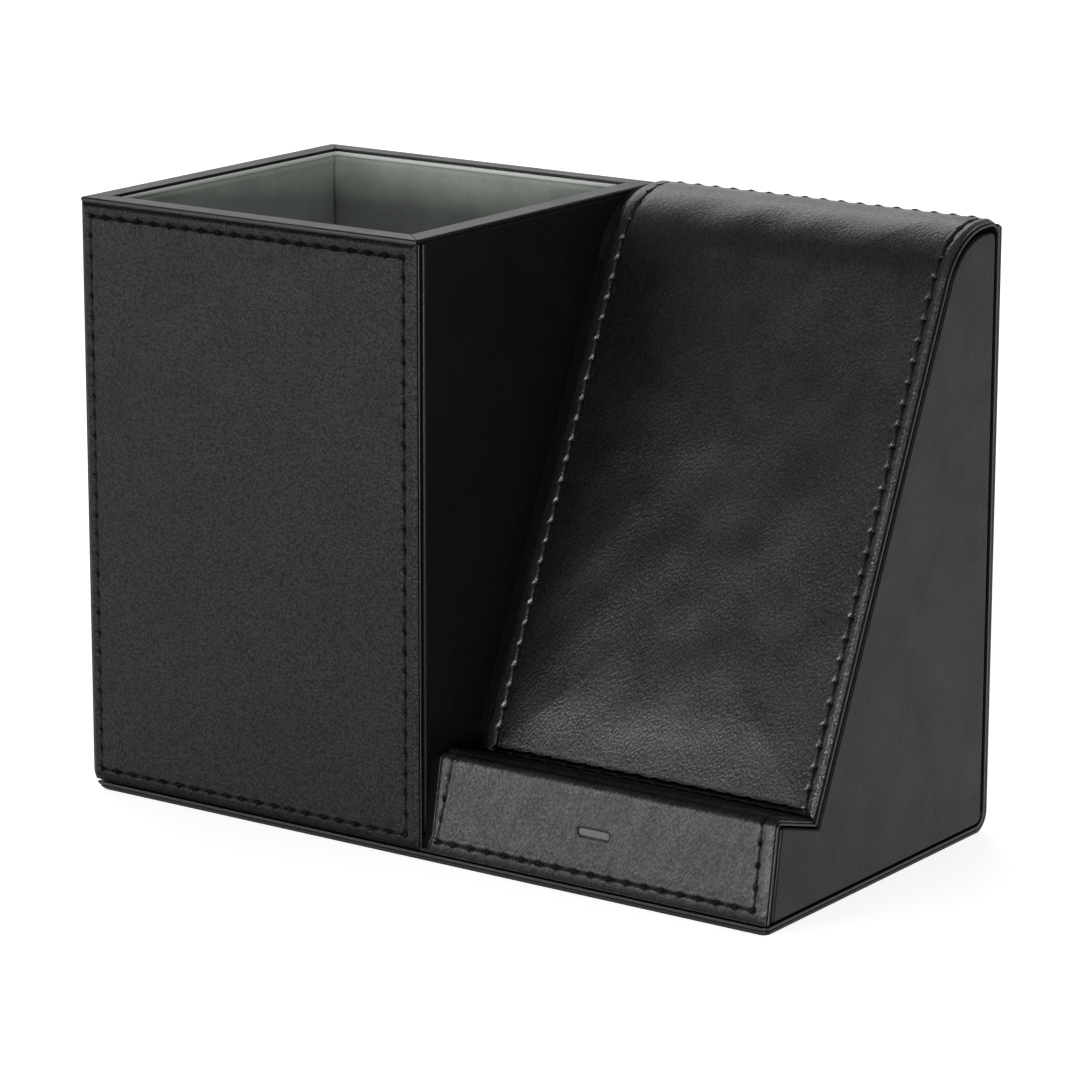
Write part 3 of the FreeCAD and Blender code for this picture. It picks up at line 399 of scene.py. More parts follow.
def stitched_lift(across, along, inside, edge, rows, swell, dome, hem):
    """Lift of padded leather, and how dull or shiny it is: wax, dust and painted shade at its
    stitches, painted highlights on ridges and edge.

    inside and edge are distances in from the stitches and from the rim; rows are the needle
    holes of each row; swell is the quick rise inside a seam, dome the slow one after it, and
    hem the rise outside.
    """
    holes = np.concatenate(rows)
    lift = (swell * rise(inside, width=0.9, power=1.5)
            + dome * rise(inside, width=13.0, power=1.6)
            + hem * rise(-inside, width=0.8, power=1.5))

    # The thread draws the leather down along the row, wider and deeper at each hole.
    near = spots(across, along, holes, HOLE_PULL)
    half = SEAM_WIDTH * (1.0 + SEAM_SPREAD * near)
    press = np.exp(-np.abs(inside / half) ** SEAM_POWER)
    lift = lift - SEAM_DEPTH * press * (SEAM_SHARES[0] + SEAM_SHARES[1] * near)
    lift = lift + FOLD_RISE * hump(inside - half - 0.26, width=0.22)
    raised = np.max([row_ridges(across, along, row) for row in rows], axis=0)
    pits = spots(across, along, holes, (HOLE_RADIUS, HOLE_RADIUS))
    lift = np.maximum(lift + RIDGE_RISE * raised - HOLE_DEPTH * pits, HOLE_FLOOR)
    # Dull along the stitches and in the holes, partly wax and dust, partly painted shade;
    # painted highlights on the ridges and the rolled edge.
    dust_and_painted_light = (np.maximum(SEAM_DUST_AND_PAINTED_SHADE * press, HOLE_DUST_AND_PAINTED_SHADE * pits) - RIDGE_PAINTED_HIGHLIGHT * raised
               - EDGE_PAINTED_HIGHLIGHT * hump(edge - 0.7, width=0.45))
    return lift - rolled_drop(edge, radius=1.3, most=0.52), np.clip(dust_and_painted_light, -1, 1)


def foot_painted_shade(along, seam_foot):
    """Painted shade: how dull the hem below a foot seam is, darker towards the desk."""
    return HEM_PAINTED_SHADE * np.clip((seam_foot - HEM_FADE - along) / HEM_FADE, 0, 1)


# ---- Node trees ----
def add_node(tree, kind, inputs=(), **settings):
    """Add a node, set or link its inputs, given by name or number, and return its outputs."""
    made = tree.nodes.new(kind)
    for key, value in settings.items():
        setattr(made, key, value)
    for key, value in dict(inputs).items():
        if isinstance(value, bpy.types.NodeSocket):
            tree.links.new(value, made.inputs[key])
        else:
            made.inputs[key].default_value = value
    return made.outputs


def linear(hex_colour):
    """An sRGB hex colour as the linear colour that a shader takes."""
    shares = [int(hex_colour[start:start + 2], 16) / 255 for start in (1, 3, 5)]
    return tuple(s / 12.92 if s <= 0.04045 else ((s + 0.055) / 1.055) ** 2.4
                 for s in shares) + (1.0,)


def begin(name):
    """A new material, and what adds a node to its empty tree."""
    material = bpy.data.materials.new(name)
    material.use_nodes = True
    material.node_tree.nodes.clear()
    return material, partial(add_node, material.node_tree)


def finish(add, height, depth, inputs):
    """Close a material's tree: one surface shader over a relief, depth millimetres deep."""
    normal = add("ShaderNodeBump", {"Height": height, "Distance": depth * MM})[0]
    surface = add("ShaderNodeBsdfPrincipled", {"Normal": normal, **inputs})
    add("ShaderNodeOutputMaterial", {"Surface": surface["BSDF"]})


def pattern(add, place, kind, size, lie=(0.0, 1.0, 1.0), inputs=(), **settings):
    """A texture with features size millimetres wide; lie is a turn about Z, then stretches."""
    turn, stretch, tall = lie
    turned = add("ShaderNodeVectorRotate", {"Vector": place, "Angle": math.radians(turn)},
                 rotation_type="Z_AXIS")
    scale = [1 / (size * MM * part) for part in (stretch, 1.0, tall)]
    scaled = add("ShaderNodeVectorMath", {0: turned[0], 1: scale}, operation="MULTIPLY")
    inputs = {"Vector": scaled[0], "Scale": 1.0, **dict(inputs)}
    return add(kind, inputs, **settings)[0]


def blend(add, mask, reach, low, high):
    """Go from one value or hex colour to another while the mask crosses its reach."""
    if isinstance(low, str):
        share = blend(add, mask, reach, 0.0, 1.0)
        return add("ShaderNodeMix", {0: share, 6: linear(low), 7: linear(high)},
                   data_type="RGBA")[2]
    ends = {"From Min": reach[0], "From Max": reach[1], "To Min": low, "To Max": high}
    return add("ShaderNodeMapRange", {"Value": mask, **ends})[0]


# ---- Leathers ----
CLOUDY = {"Detail": 4.0, "Roughness": 0.6}
GRITTY = {"Detail": 3.0, "Roughness": 0.7}
GRIT = 0.45                  # size and share of fine grit in a larger pattern
PITS_TO_TOPS = (0.15, 0.65)  # of an embossed relief
CREASE_SPACING = 2.6
CREASE_STRETCH = 2.2
PATCH_SIZE = 13.0            # of its smooth patches


def leather(name, tones, grain, depth, gloss, shine, lie=(0.0, 1.0, 1.0), surface="UV",
            creases=0.0):
    """Coated split leather, embossed under a thin polyurethane film.

    tones are its colours in the pits and on the high spots, grain is the width of a pebble,
    depth its relief, gloss the roughness of rubbed and of dull parts, and shine how much
    light the film throws back from the pits and from the high spots; the pits' low shine is
    partly dust and partly painted shade.
    """
    material, add = begin(name)
    place = add("ShaderNodeTexCoord")[surface]

    # Pebbles are soft round cells, broken up by a finer grit so that they don't look tiled.
    grit = pattern(add, place, "ShaderNodeTexNoise", grain * GRIT, lie, GRITTY)
    pebbles = pattern(add, place, "ShaderNodeTexVoronoi", grain, lie, feature="SMOOTH_F1")
    relief = add("ShaderNodeMath", {0: grit, 1: GRIT, 2: pebbles}, operation="MULTIPLY_ADD")[0]
    relief = add("ShaderNodeMath", {0: 1.0, 1: relief}, operation="SUBTRACT")[0]
    tone = blend(add, relief, PITS_TO_TOPS, *tones)

    # Fine creases, where the hide was bent over the foam, stand up as thin long lines.
    if creases:
        long_lie = (lie[0], lie[1] * CREASE_STRETCH, 1.0)
        folds = pattern(add, place, "ShaderNodeTexVoronoi", CREASE_SPACING, long_lie,
                        feature="DISTANCE_TO_EDGE")
        line = blend(add, folds, (0.0, 0.16), creases, 0.0)
        relief = add("ShaderNodeMath", {0: relief, 1: line}, operation="ADD")[0]

    # The film is shiny on the high spots, and dull in the pits, partly from dust and partly as
    # painted shade; the stitches are dulled by wax, dust and painted shade, and painted
    # highlights shine beside the holes and on rolled edges.
    dust_and_painted_light = add("ShaderNodeAttribute", attribute_name="dust_and_painted_light")["Fac"]
    bright = add("ShaderNodeMath",
                 {0: blend(add, relief, PITS_TO_TOPS, *shine),
                  1: blend(add, dust_and_painted_light, (-1.0, 0.9), 2.4, 0.03)},
                 operation="MULTIPLY")[0]

    # Soft patches are rubbed smoother, and pick up more of the lamps.
    patches = pattern(add, place, "ShaderNodeTexNoise", PATCH_SIZE, inputs=CLOUDY)
    rough = blend(add, patches, (0.38, 0.62), *gloss)
    finish(add, relief, depth,
           {"Base Color": tone, "Roughness": rough, "Specular IOR Level": bright})
    return material


# Pebbled: soft high spots over dark pits catch little light.
STITCHED_LEATHER = leather("pebbled_coated_leather", ("#050505", "#0d0d0e"), 0.36, 0.10,
                           (0.36, 0.44), (0.10, 0.20), lie=(64.0, 1.3, 1.0))
# Brushed upwards: a finer grain, with a broad soft shine.
SLOPE_LEATHER = leather("brushed_coated_leather", ("#060606", "#0f0f10"), 0.27, 0.062,
                        (0.28, 0.36), (0.37, 0.52), lie=(-66.0, 2.1, 1.0), creases=0.07)
# Drawn round the lip: thin bright creases between patches of shine.
LIP_LEATHER = leather("creased_coated_leather", ("#060606", "#0f0f10"), 0.28, 0.10,
                      (0.32, 0.40), (0.27, 0.46), lie=(-64.0, 2.6, 1.0), creases=0.20)
# Bound and polished by hands: a clear line of light.
BINDING_LEATHER = leather("polished_binding_leather", ("#0a0a0b", "#0f0f10"), 0.50, 0.02,
                          (0.34, 0.42), (0.24, 0.30), surface="Object")
# Glued flat over board: smooth and even, with a low shine.
PLAIN_LEATHER = leather("smooth_coated_leather", ("#0a0a0b", "#0e0e0f"), 0.50, 0.025,
                        (0.38, 0.46), (0.17, 0.20), surface="Object")
# Pared and waxed: darker, with a narrow bright line.
PLY_LEATHER = leather("pared_leather_edge", ("#070708", "#0d0d0e"), 0.45, 0.030,
                      (0.30, 0.40), (0.34, 0.44), surface="Object")


def waxed_thread():
    """Waxed polyester thread: black, three strands, with a soft shine on each strand."""
    material, add = begin("waxed_polyester_thread")
    run = add("ShaderNodeAttribute", attribute_name="along")["Fac"]
    around = add("ShaderNodeAttribute", attribute_name="around")["Fac"]
    strands, lay = 3.0, 0.9
    phase = add("ShaderNodeMath", {0: around, 1: lay * MM, 2: run}, operation="MULTIPLY_ADD")[0]
    turns = add("ShaderNodeMath", {0: phase, 1: strands * 2 * math.pi / (lay * MM)},
                operation="MULTIPLY")[0]
    ridge = add("ShaderNodeMath", {0: turns}, operation="SINE")[0]
    finish(add, ridge, 0.05,
           {"Base Color": blend(add, ridge, (-1.0, 1.0), "#040404", "#0a0a0b"),
            "Roughness": 0.5, "Specular IOR Level": 0.25})
    return material


THREAD = waxed_thread()


def microfibre():
    """Brushed microfibre over thin foam: grey-green, matt, its short nap lying unevenly."""
    material, add = begin("brushed_microfibre")
    place = add("ShaderNodeTexCoord")["Object"]

    # The nap lies in wide patches; its tufts are drawn as coarse as they need to show.
    nap = pattern(add, place, "ShaderNodeTexNoise", 9.0, inputs=CLOUDY)
    fibre = pattern(add, place, "ShaderNodeTexNoise", 0.5, (0.0, 1.0, 2.2), GRITTY)
    dust_and_painted_light = add("ShaderNodeAttribute", attribute_name="dust_and_painted_light")["Fac"]
    tone = add("ShaderNodeMath", {0: fibre, 1: GRIT, 2: nap}, operation="MULTIPLY_ADD")[0]
    cloth = blend(add, tone, (0.45, 0.95), "#868b85", "#9ca29b")

    # Painted highlight: it is drawn pale where it covers the cord at the top.
    cloth_and_painted_highlight = add("ShaderNodeMix", {0: dust_and_painted_light, 6: cloth, 7: linear("#c4c9c3")},
               data_type="RGBA")[2]
    finish(add, fibre, 0.07,
           {"Base Color": cloth_and_painted_highlight, "Roughness": 0.9, "Sheen Weight": 0.4, "Sheen Roughness": 0.4,
            "Sheen Tint": linear("#d0d4ce"), "Specular IOR Level": 0.2})
    return material


MICROFIBRE = microfibre()


# ---- Stitches ----
def stitch_tree():
    """Rows of stitches along guide lines: one short arched thread from each hole to the next."""
    tree = bpy.data.node_groups.new("lock_stitch_rows", "GeometryNodeTree")
    sockets = {}
    for label, kind, value in (
            ("Guides", "Geometry", None), ("Pitch", "Float", STITCH_PITCH * MM),
            ("Thread Radius", "Float", THREAD_RADIUS * MM), ("Reach", "Float", STITCH_REACH),
            ("Sink", "Float", STITCH_SINK * MM), ("Rise", "Float", STITCH_RISE * MM),
            ("Slant", "Float", math.radians(STITCH_SLANT)),
            ("Unevenness", "Float", STITCH_STRAY), ("Seed", "Int", 1),
            ("Thread", "Material", None)):
        socket = tree.interface.new_socket(name=label, in_out="INPUT",
                                           socket_type="NodeSocket" + kind)
        if value is not None:
            socket.default_value = value
        sockets[label] = socket.identifier
    tree.interface.new_socket(name="Stitches", in_out="OUTPUT",
                              socket_type="NodeSocketGeometry")
    add = partial(add_node, tree)
    given = add("NodeGroupInput")

    # Each guide is cut into whole stitches, and every stitch becomes one point.
    curves = add("GeometryNodeMeshToCurve", {"Mesh": given["Guides"]})
    length = add("GeometryNodeSplineLength")["Length"]
    count = add("ShaderNodeMath", {0: length, 1: given["Pitch"]}, operation="DIVIDE")
    whole = add("ShaderNodeMath", {0: count[0]}, operation="ROUND")
    holes = add("ShaderNodeMath", {0: whole[0], 1: 1.0}, operation="ADD")
    cut = add("GeometryNodeResampleCurve", {"Curve": curves["Curve"], "Count": holes[0]})
    runs = add("GeometryNodeCurveToMesh", {"Curve": cut["Curve"]})
    ends = add("GeometryNodeInputMeshEdgeVertices")
    heading = add("ShaderNodeVectorMath", {0: ends["Position 2"], 1: ends["Position 1"]},
                  operation="SUBTRACT")
    kept = add("GeometryNodeStoreNamedAttribute",
               {"Geometry": runs["Mesh"], "Name": "heading", "Value": heading[0]},
               data_type="FLOAT_VECTOR", domain="EDGE")
    marks = add("GeometryNodeMeshToPoints", {"Mesh": kept["Geometry"]}, mode="EDGES")

    # The thread: an arch between two holes that dives into both.
    half = add("ShaderNodeMath", {0: given["Pitch"], 1: given["Reach"]}, operation="MULTIPLY")[0]
    back = add("ShaderNodeMath", {0: half, 1: -1.0}, operation="MULTIPLY")[0]
    down = add("ShaderNodeMath", {0: given["Sink"], 1: -1.0}, operation="MULTIPLY")[0]
    crown = add("ShaderNodeMath", {0: given["Rise"], 1: 2.0, 2: given["Sink"]},
                operation="MULTIPLY_ADD")[0]
    start, middle, stop = (add("ShaderNodeCombineXYZ", place)[0] for place in (
        {"X": back, "Z": down}, {"Z": crown}, {"X": half, "Z": down}))
    arch = add("GeometryNodeCurveQuadraticBezier",
               {"Resolution": 6, "Start": start, "Middle": middle, "End": stop})
    ring = add("GeometryNodeCurvePrimitiveCircle",
               {"Resolution": 6, "Radius": given["Thread Radius"]})
    reach = add("GeometryNodeSplineParameter")
    arch, ring = (add("GeometryNodeStoreNamedAttribute",
                      {"Geometry": curve["Curve"], "Name": label, "Value": value})
                  for curve, label, value in ((arch, "along", reach["Length"]),
                                              (ring, "around", reach["Factor"])))
    thread = add("GeometryNodeCurveToMesh", {"Curve": arch["Geometry"], "Fill Caps": True,
                                             "Profile Curve": ring["Geometry"]})

    # Each one lies along its run, face out, a little turned off the row and no two alike.
    run, out = (add("GeometryNodeInputNamedAttribute", {"Name": label},
                    data_type="FLOAT_VECTOR")["Attribute"] for label in ("heading", "out"))
    aligned = add("FunctionNodeAxesToRotation", {"Primary Axis": run, "Secondary Axis": out},
                  primary_axis="X", secondary_axis="Z")
    stray = add("FunctionNodeRandomValue", {2: -1.0, 3: 1.0, "Seed": given["Seed"]})
    turn = add("ShaderNodeMath", {0: stray[1], 1: given["Unevenness"], 2: given["Slant"]},
               operation="MULTIPLY_ADD")[0]
    slanted = add("FunctionNodeEulerToRotation",
                  {0: add("ShaderNodeCombineXYZ", {"Z": turn})[0]})
    lie = add("FunctionNodeRotateRotation",
              {"Rotation": aligned[0], "Rotate By": slanted[0]}, rotation_space="LOCAL")
    sewn = add("GeometryNodeInstanceOnPoints",
               {"Points": marks["Points"], "Instance": thread["Mesh"], "Rotation": lie[0]})
    real = add("GeometryNodeRealizeInstances", {"Geometry": sewn["Instances"]})
    smooth = add("GeometryNodeSetShadeSmooth", {"Geometry": real["Geometry"]})
    dressed = add("GeometryNodeSetMaterial",
                  {"Geometry": smooth["Geometry"], "Material": given["Thread"]})
    add("NodeGroupOutput", {0: dressed["Geometry"]})
    return tree, sockets


STITCHES, STITCH_SOCKETS = stitch_tree()


def sew(name, place, rows, sunk=THREAD_DEPTH):
    """Stitches along rows on a surface, each row a list of (across, along) corners."""
    points, edges, outs = [], [], []
    for row in rows:
        across, along = spread(row, lambda length: max(2, int(length / GRID))).T
        low = place(across, along, np.full_like(along, -sunk))
        high = place(across, along, np.full_like(along, 1 - sunk))
        edges += [(len(points) + i, len(points) + i + 1) for i in range(len(along) - 1)]
        points += (low * MM).tolist()
        outs += (high - low).tolist()
    mesh = bpy.data.meshes.new(name + "_guides")
    mesh.from_pydata(points, edges, [])
    store(mesh, "out", "FLOAT_VECTOR", "vector", np.array(outs).ravel())
    guide = put(name + "_guides", mesh)
    modifier = guide.modifiers.new("sew", "NODES")
    modifier.node_group = STITCHES
    modifier[STITCH_SOCKETS["Thread"]] = THREAD
    modifier[STITCH_SOCKETS["Seed"]] = len(name)
    sewn = put(name, bake(guide))
    sewn.data.name = name
    bpy.data.objects.remove(guide)
    tie(sewn)


# ---- The stitched skins ----
def profile_corners():
    """Corners of the rest's outer face, from the foot of the lip to the back, with radii."""
    lip_y = FRONT + (LIP_HEIGHT - COVER_FOOT) * math.tan(math.radians(LIP_LEAN))
    crease_y = lip_y + LEDGE_DEPTH
    crease_z = LIP_HEIGHT - LEDGE_DEPTH * math.tan(math.radians(LEDGE_TILT))
    to_roll_y = BACK - BACK_TOP_RADIUS - TOP_FLAT - crease_y
    to_roll_z = REST_HEIGHT - ROLL_RADIUS - crease_z
    reach = math.hypot(to_roll_y, to_roll_z)
    lean = math.atan2(to_roll_y, to_roll_z) - math.asin(ROLL_RADIUS / reach)
    roll_y = crease_y + (REST_HEIGHT - crease_z) * math.tan(lean)
    return {
        "foot": (FRONT, COVER_FOOT),
        "lip_top": (lip_y, LIP_HEIGHT, FOLD_RADIUS),
        "crease": (crease_y, crease_z),
        "roll": (roll_y, REST_HEIGHT, ROLL_RADIUS),
        "top_back": (BACK, REST_HEIGHT, BACK_TOP_RADIUS),
        "behind_rail": (BACK, REST_HEIGHT - ROLL_RADIUS),
    }


CORNERS = profile_corners()


def panel_grid(sides, seams):
    """A panel's rows of stitches, their needle holes, and its mesh across and along."""
    rows = border(*seams)
    marks = [row_holes(row) for row in rows]
    columns = mesh_lines(*sides[:2], marks[0][:, 0], seams[:2])
    levels = mesh_lines(*sides[2:], marks[1][:, 1], seams[2:])
    return rows, marks, *np.meshgrid(columns, levels)


def cup_front():
    """The cup's front: one padded panel with a stitched border all round."""
    place = on_plane((0, FRONT, 0), (1, 0, 0), (0, 0, 1))
    left, right = CUP_SKIN_LOW[0], CUP_SKIN_HIGH[0]
    foot, head = CUP_SKIN_LOW[2], CUP_SKIN_HIGH[2]
    rows, marks, across, along = panel_grid((left, right, foot, head), CUP_SEAMS)

    # The lower left corner follows the rounded edge of the case.
    low = np.clip(EDGE_RADIUS - along, 0, None)
    shift = EDGE_RADIUS - np.sqrt(EDGE_RADIUS ** 2 - low ** 2)
    across = across + shift * np.clip(1 - (across - left) / CORNER_WIDTH, 0, 1)

    inside = inset(across, along, *CUP_SEAMS)
    edge = inset(across, along, left + shift, right, foot, head)
    lift, dust_and_painted_light = stitched_lift(across, along, inside, edge, marks,
                                  swell=0.18, dome=0.35, hem=0.16)
    # Painted shade: the hem below the foot seam is dulled.
    dust_and_painted_light = np.maximum(dust_and_painted_light, foot_painted_shade(along, CUP_SEAMS[2]))
    lift += settled(inside, 8) * 0.10 * rumple(across, along, size=30, seed=3)
    made = shell("cup_front_leather", place, across, along, lift, SKIN, STITCHED_LEATHER,
                 dust_and_painted_light)
    tie(made, "cup_front_skin")
    sew("cup_front_stitches", place, rows)


def slope():
    """The slope's leather, from the crease up over the roll to the back sheets."""
    place = along_profile([CORNERS[name] for name in ("crease", "roll", "top_back",
                                                      "behind_rail")])
    left, right = REST_LEFT, SLOPE_SKIN_HIGH[0]
    stop = place.run_at(0, BACK_SEAM)
    seams = (left + 3.2, right - 2.3, 1.2, place.run_at(0, BACK - 3.2))
    rows, marks, across, along = panel_grid((left, right, 0, stop), seams)
    inside = inset(across, along, *seams)
    edge = inset(across, along, left, right, 0, stop)
    lift, dust_and_painted_light = stitched_lift(across, along, inside, edge, marks,
                                  swell=0.20, dome=0.80, hem=0.16)
    lift += settled(inside, 9) * (
        0.16 * rumple(across, along, size=34, seed=5)
        + 0.04 * rumple(across, along, size=9, seed=8, lean=36, stretch=2.0)
        + 0.10 * rumple(across, along, size=14, seed=21, lean=58, stretch=4.0))
    dust_and_painted_light = dust_and_painted_light * (1 - 0.7 * hump(along, 2.2))    # the stitches are dulled less near the crease, so the foot stays bright: less painted shade
    made = shell("slope_leather", place, across, along, lift, SKIN, SLOPE_LEATHER, dust_and_painted_light)
    tie(made, "slope_skin")
    sew("slope_stitches", place, rows[:2] + rows[3:])
    sew("crest_stitches", place, rows[2:3], sunk=CREST_DEPTH)


def lip():
    """The lip's leather, folded over the top and down the ledge into the crease."""
    place = along_profile([CORNERS[name] for name in ("foot", "lip_top", "crease")])
    right, cup_side = LIP_SKIN_HIGH[0], LIP_SKIN_LOW[0]
    fold = place.run_at(1, LIP_HEIGHT - 0.3)
    below_fold, crease_stop = fold - 1.2, place.length - 0.8

    # Its left edge leaves a slot beside the cup, closed at the foot by a narrow strip.
    strip, above_strip = 0.60, 0.68
    edge_line = ((0, cup_side), (strip, cup_side), (above_strip, cup_side + 1.6),
                 (3.6, REST_LEFT), (fold, REST_LEFT + 0.3), (place.length, REST_LEFT + 0.3))
    seam_foot, seam_right = 2.55, right - 2.75
    seam_line = ((seam_foot, 5.25), (below_fold, 7.3), (place.length, 7.6))
    low, bend, high = [across for along, across in seam_line]
    rows = [[(low, seam_foot), (seam_right, seam_foot)],
            [(seam_right, seam_foot), (seam_right, crease_stop)],
            [(high, crease_stop), (bend, below_fold), (low, seam_foot)]]
    marks = [row_holes(row) for row in rows]

    levels = mesh_lines(0, place.length, marks[1][:, 1], (seam_foot, fold), spacing=0.45)
    round_lens = LENS_RISE + np.arange(-1.4, 1.5, 0.2)
    levels = np.unique(np.concatenate([levels, (strip, above_strip), round_lens]))
    columns = mesh_lines(REST_LEFT, right, marks[0][:, 0], (bend, seam_right), spacing=0.4)
    share = (columns - columns[0]) / (columns[-1] - columns[0])
    left = np.interp(levels, *zip(*edge_line))[:, None]
    across = left + (right - left) * share[None, :]
    along = np.broadcast_to(levels[:, None], across.shape)
    inside = inset(across, along, np.interp(along, *zip(*seam_line)), seam_right, seam_foot)
    edge = inset(across, along, left, right, 0, place.length)
    lift, dust_and_painted_light = stitched_lift(across, along, inside, edge, marks,
                                  swell=0.18, dome=0.15, hem=0.18)

    # A pressed line below the fold, then a pad that bulges behind it over the ledge.
    groove = hump(along - fold + 0.5, 0.22)
    lift -= 0.22 * groove
    on_ledge = np.clip((along - fold) / (place.length - fold), 0, 1)
    pad_rise, pad_reach = 0.70, 3
    lift += pad_rise * np.sin(math.pi * on_ledge ** 0.5) * settled(edge, pad_reach) ** 0.5
    lift += settled(inside, 5) * 0.05 * rumple(across, along, size=16, seed=11)

    # Painted shade dulls the groove and the hem below the foot seam, and a painted highlight
    # shines on the pad.
    groove_painted_shade, pad_painted_highlight = 0.3, 0.7
    dust_and_painted_light = np.maximum(dust_and_painted_light, groove_painted_shade * groove)
    dust_and_painted_light = np.maximum(dust_and_painted_light, foot_painted_shade(along, seam_foot))
    dust_and_painted_light = np.clip(dust_and_painted_light - pad_painted_highlight * np.sin(math.pi * on_ledge ** 0.4), -1, 1)

    # The lamp's slot is sunk round its rim, and the rim is dulled as painted shade.
    reach = np.clip(np.abs(across - REST_MIDDLE) - (LENS_SLOT[0] - LENS_SLOT[1]) / 2, 0, None)
    rim = hump(np.hypot(reach, along - LENS_RISE) - LENS_SLOT[1] / 2, 0.30)
    rim_depth, rim_painted_shade = 0.15, 0.5
    lift -= rim_depth * rim
    dust_and_painted_light = np.maximum(dust_and_painted_light, rim_painted_shade * rim)
    made = shell("lip_leather", place, across, along, lift, SKIN, LIP_LEATHER, dust_and_painted_light)
    cut_lamp_slot(made)
    tie(made, "lip_skin")
    sew("lip_stitches", place, rows)


def cut_lamp_slot(made):
    """Cut the round-ended slot that the lamp's lens shows through."""
    width, height = LENS_SLOT
    steps = 12
    outline = []
    for end in (1, -1):
        for step in range(steps + 1):
            turn = math.pi * (step / steps - 0.5)
            outline.append((end * ((width - height) / 2 + math.cos(turn) * height / 2),
                            end * math.sin(turn) * height / 2))
    lean = Matrix.Rotation(math.radians(-LIP_LEAN), 4, "X")
    shift = Matrix.Translation(Vector((REST_MIDDLE, FRONT, COVER_FOOT)) * MM)
    before_skin, behind_skin = -4.0, 3.0
    points = [Vector((x, depth, LENS_RISE + z)) * MM
              for depth in (before_skin, behind_skin) for x, z in outline]
    count = len(outline)
    faces = [list(range(count)), list(range(2 * count - 1, count - 1, -1))]
    faces += [[i, i + count, (i + 1) % count + count, (i + 1) % count] for i in range(count)]
    mesh = bpy.data.meshes.new("lamp_slot")
    mesh.from_pydata([shift @ lean @ point for point in points], [], faces)
    cutter = put("lamp_slot", mesh)
    modifier = made.modifiers.new("slot", "BOOLEAN")
    modifier.operation, modifier.solver, modifier.object = "DIFFERENCE", "EXACT", cutter
    made.data = bake(made)
    made.modifiers.clear()
    bpy.data.objects.remove(cutter)


# ---- The cup's lining ----
def lining(side, origin, across_axis, along_axis, across_reach, along_reach):
    """One padded panel of the lining, swelling between its seams, with a rolled top."""
    place = on_plane(origin, across_axis, along_axis)
    across, along = np.meshgrid(
        mesh_lines(0, across_reach, spacing=1.0),
        mesh_lines(0, along_reach, seams=(along_reach - 1.0,), spacing=1.0))
    sides = np.minimum(across, across_reach - across)
    from_top = along_reach - along
    swell = (rise(sides, width=3.0, power=1)
             * rise(np.minimum(along, from_top), width=3.0, power=1))
    lift = PAD_SWELL * swell
    lift = lift + PAD_UNEVENNESS * swell * rumple(across, along, size=30, seed=len(side))
    lift -= rolled_drop(sides, radius=1.2, most=0.9)

    # The top is turned over a cord, which shows as a roll.
    lift += (CORD_RISE * hump(from_top - 0.9, width=0.55)
             - rolled_drop(from_top, radius=0.6, most=0.45))
    made = shell("lining_" + side + "_pad", place, across, along, lift, PAD, MICROFIBRE)
    tie(made, "lining_" + side)


def line_cup():
    """The lining's five pads, each drawn from a lower corner."""
    front, back = span("lining_front"), span("lining_back")
    left, right, floor = span("lining_left"), span("lining_right"), span("lining_floor")
    foot, up = front[0][2], (0, 0, 1)
    high = front[1][2] - foot
    width, depth = front[1][0] - front[0][0], left[1][1] - left[0][1]
    for side, x, y, across_axis, reach in (
            ("front", front[1][0], front[1][1], (-1, 0, 0), width),
            ("back", back[0][0], back[0][1], (1, 0, 0), width),
            ("left", left[1][0], left[0][1], (0, 1, 0), depth),
            ("right", right[0][0], right[1][1], (0, -1, 0), depth)):
        lining(side, (x, y, foot), across_axis, up, reach, high)
    lining("floor", (floor[0][0], floor[0][1], floor[1][2]), (1, 0, 0), (0, 1, 0),
           floor[1][0] - floor[0][0], floor[1][1] - floor[0][1])


def pipe_cup():
    """A thin covered cord that hides the joint between the lining and the rim."""
    inner = PIPING_RADIUS + PIPING_TURN
    sides = (span("rim_binding_right")[0][0] - inner, span("rim_binding_left")[1][0] + inner)
    ends = (span("rim_binding_back")[0][1] - inner, span("rim_binding_front")[1][1] + inner)
    level = span("lining_front")[1][2] + PIPING_LIFT
    steps = 6
    path = []
    for quarter, (side, end) in enumerate(((0, 0), (1, 0), (1, 1), (0, 1))):
        for step in range(steps + 1):
            angle = (quarter + step / steps) * math.pi / 2
            path.append((sides[side] + PIPING_TURN * math.cos(angle),
                         ends[end] + PIPING_TURN * math.sin(angle), level))
    cord = bpy.data.curves.new("lining_piping", "CURVE")
    cord.dimensions = "3D"
    cord.bevel_depth, cord.bevel_resolution = PIPING_RADIUS * MM, 3
    line = cord.splines.new("POLY")
    line.points.add(len(path) - 1)
    line.use_cyclic_u = True
    for point, place in zip(line.points, path):
        point.co = [value * MM for value in place] + [1.0]
    swept = bpy.data.objects.new("lining_piping_path", cord)
    mesh = bpy.data.meshes.new_from_object(swept)
    bpy.data.objects.remove(swept)
    # Painted highlight: the whole cord takes the pale colour.
    store(mesh, "dust_and_painted_light", "FLOAT", "value", np.ones(len(mesh.vertices)))
    mesh.materials.clear()
    mesh.materials.append(MICROFIBRE)
    mesh.shade_smooth()
    made = put("lining_piping", mesh)
    tie(made)


# ---- Other finishes ----
def plain(name, tones, grain, depth, rough, metallic=0.0, lie=(0.0, 1.0, 1.0), shine=0.5):
    """A finish with an uneven tone and relief, its grain as coarse as it needs to show."""
    material, add = begin(name)
    place = add("ShaderNodeTexCoord")["Object"]
    cloud = pattern(add, place, "ShaderNodeTexNoise", grain, lie, CLOUDY)
    finish(add, cloud, depth,
           {"Base Color": blend(add, cloud, (0.3, 0.7), *tones),
            "Roughness": blend(add, cloud, (0.3, 0.7), rough - 0.05, rough + 0.05),
            "Metallic": metallic, "Specular IOR Level": shine})
    return material


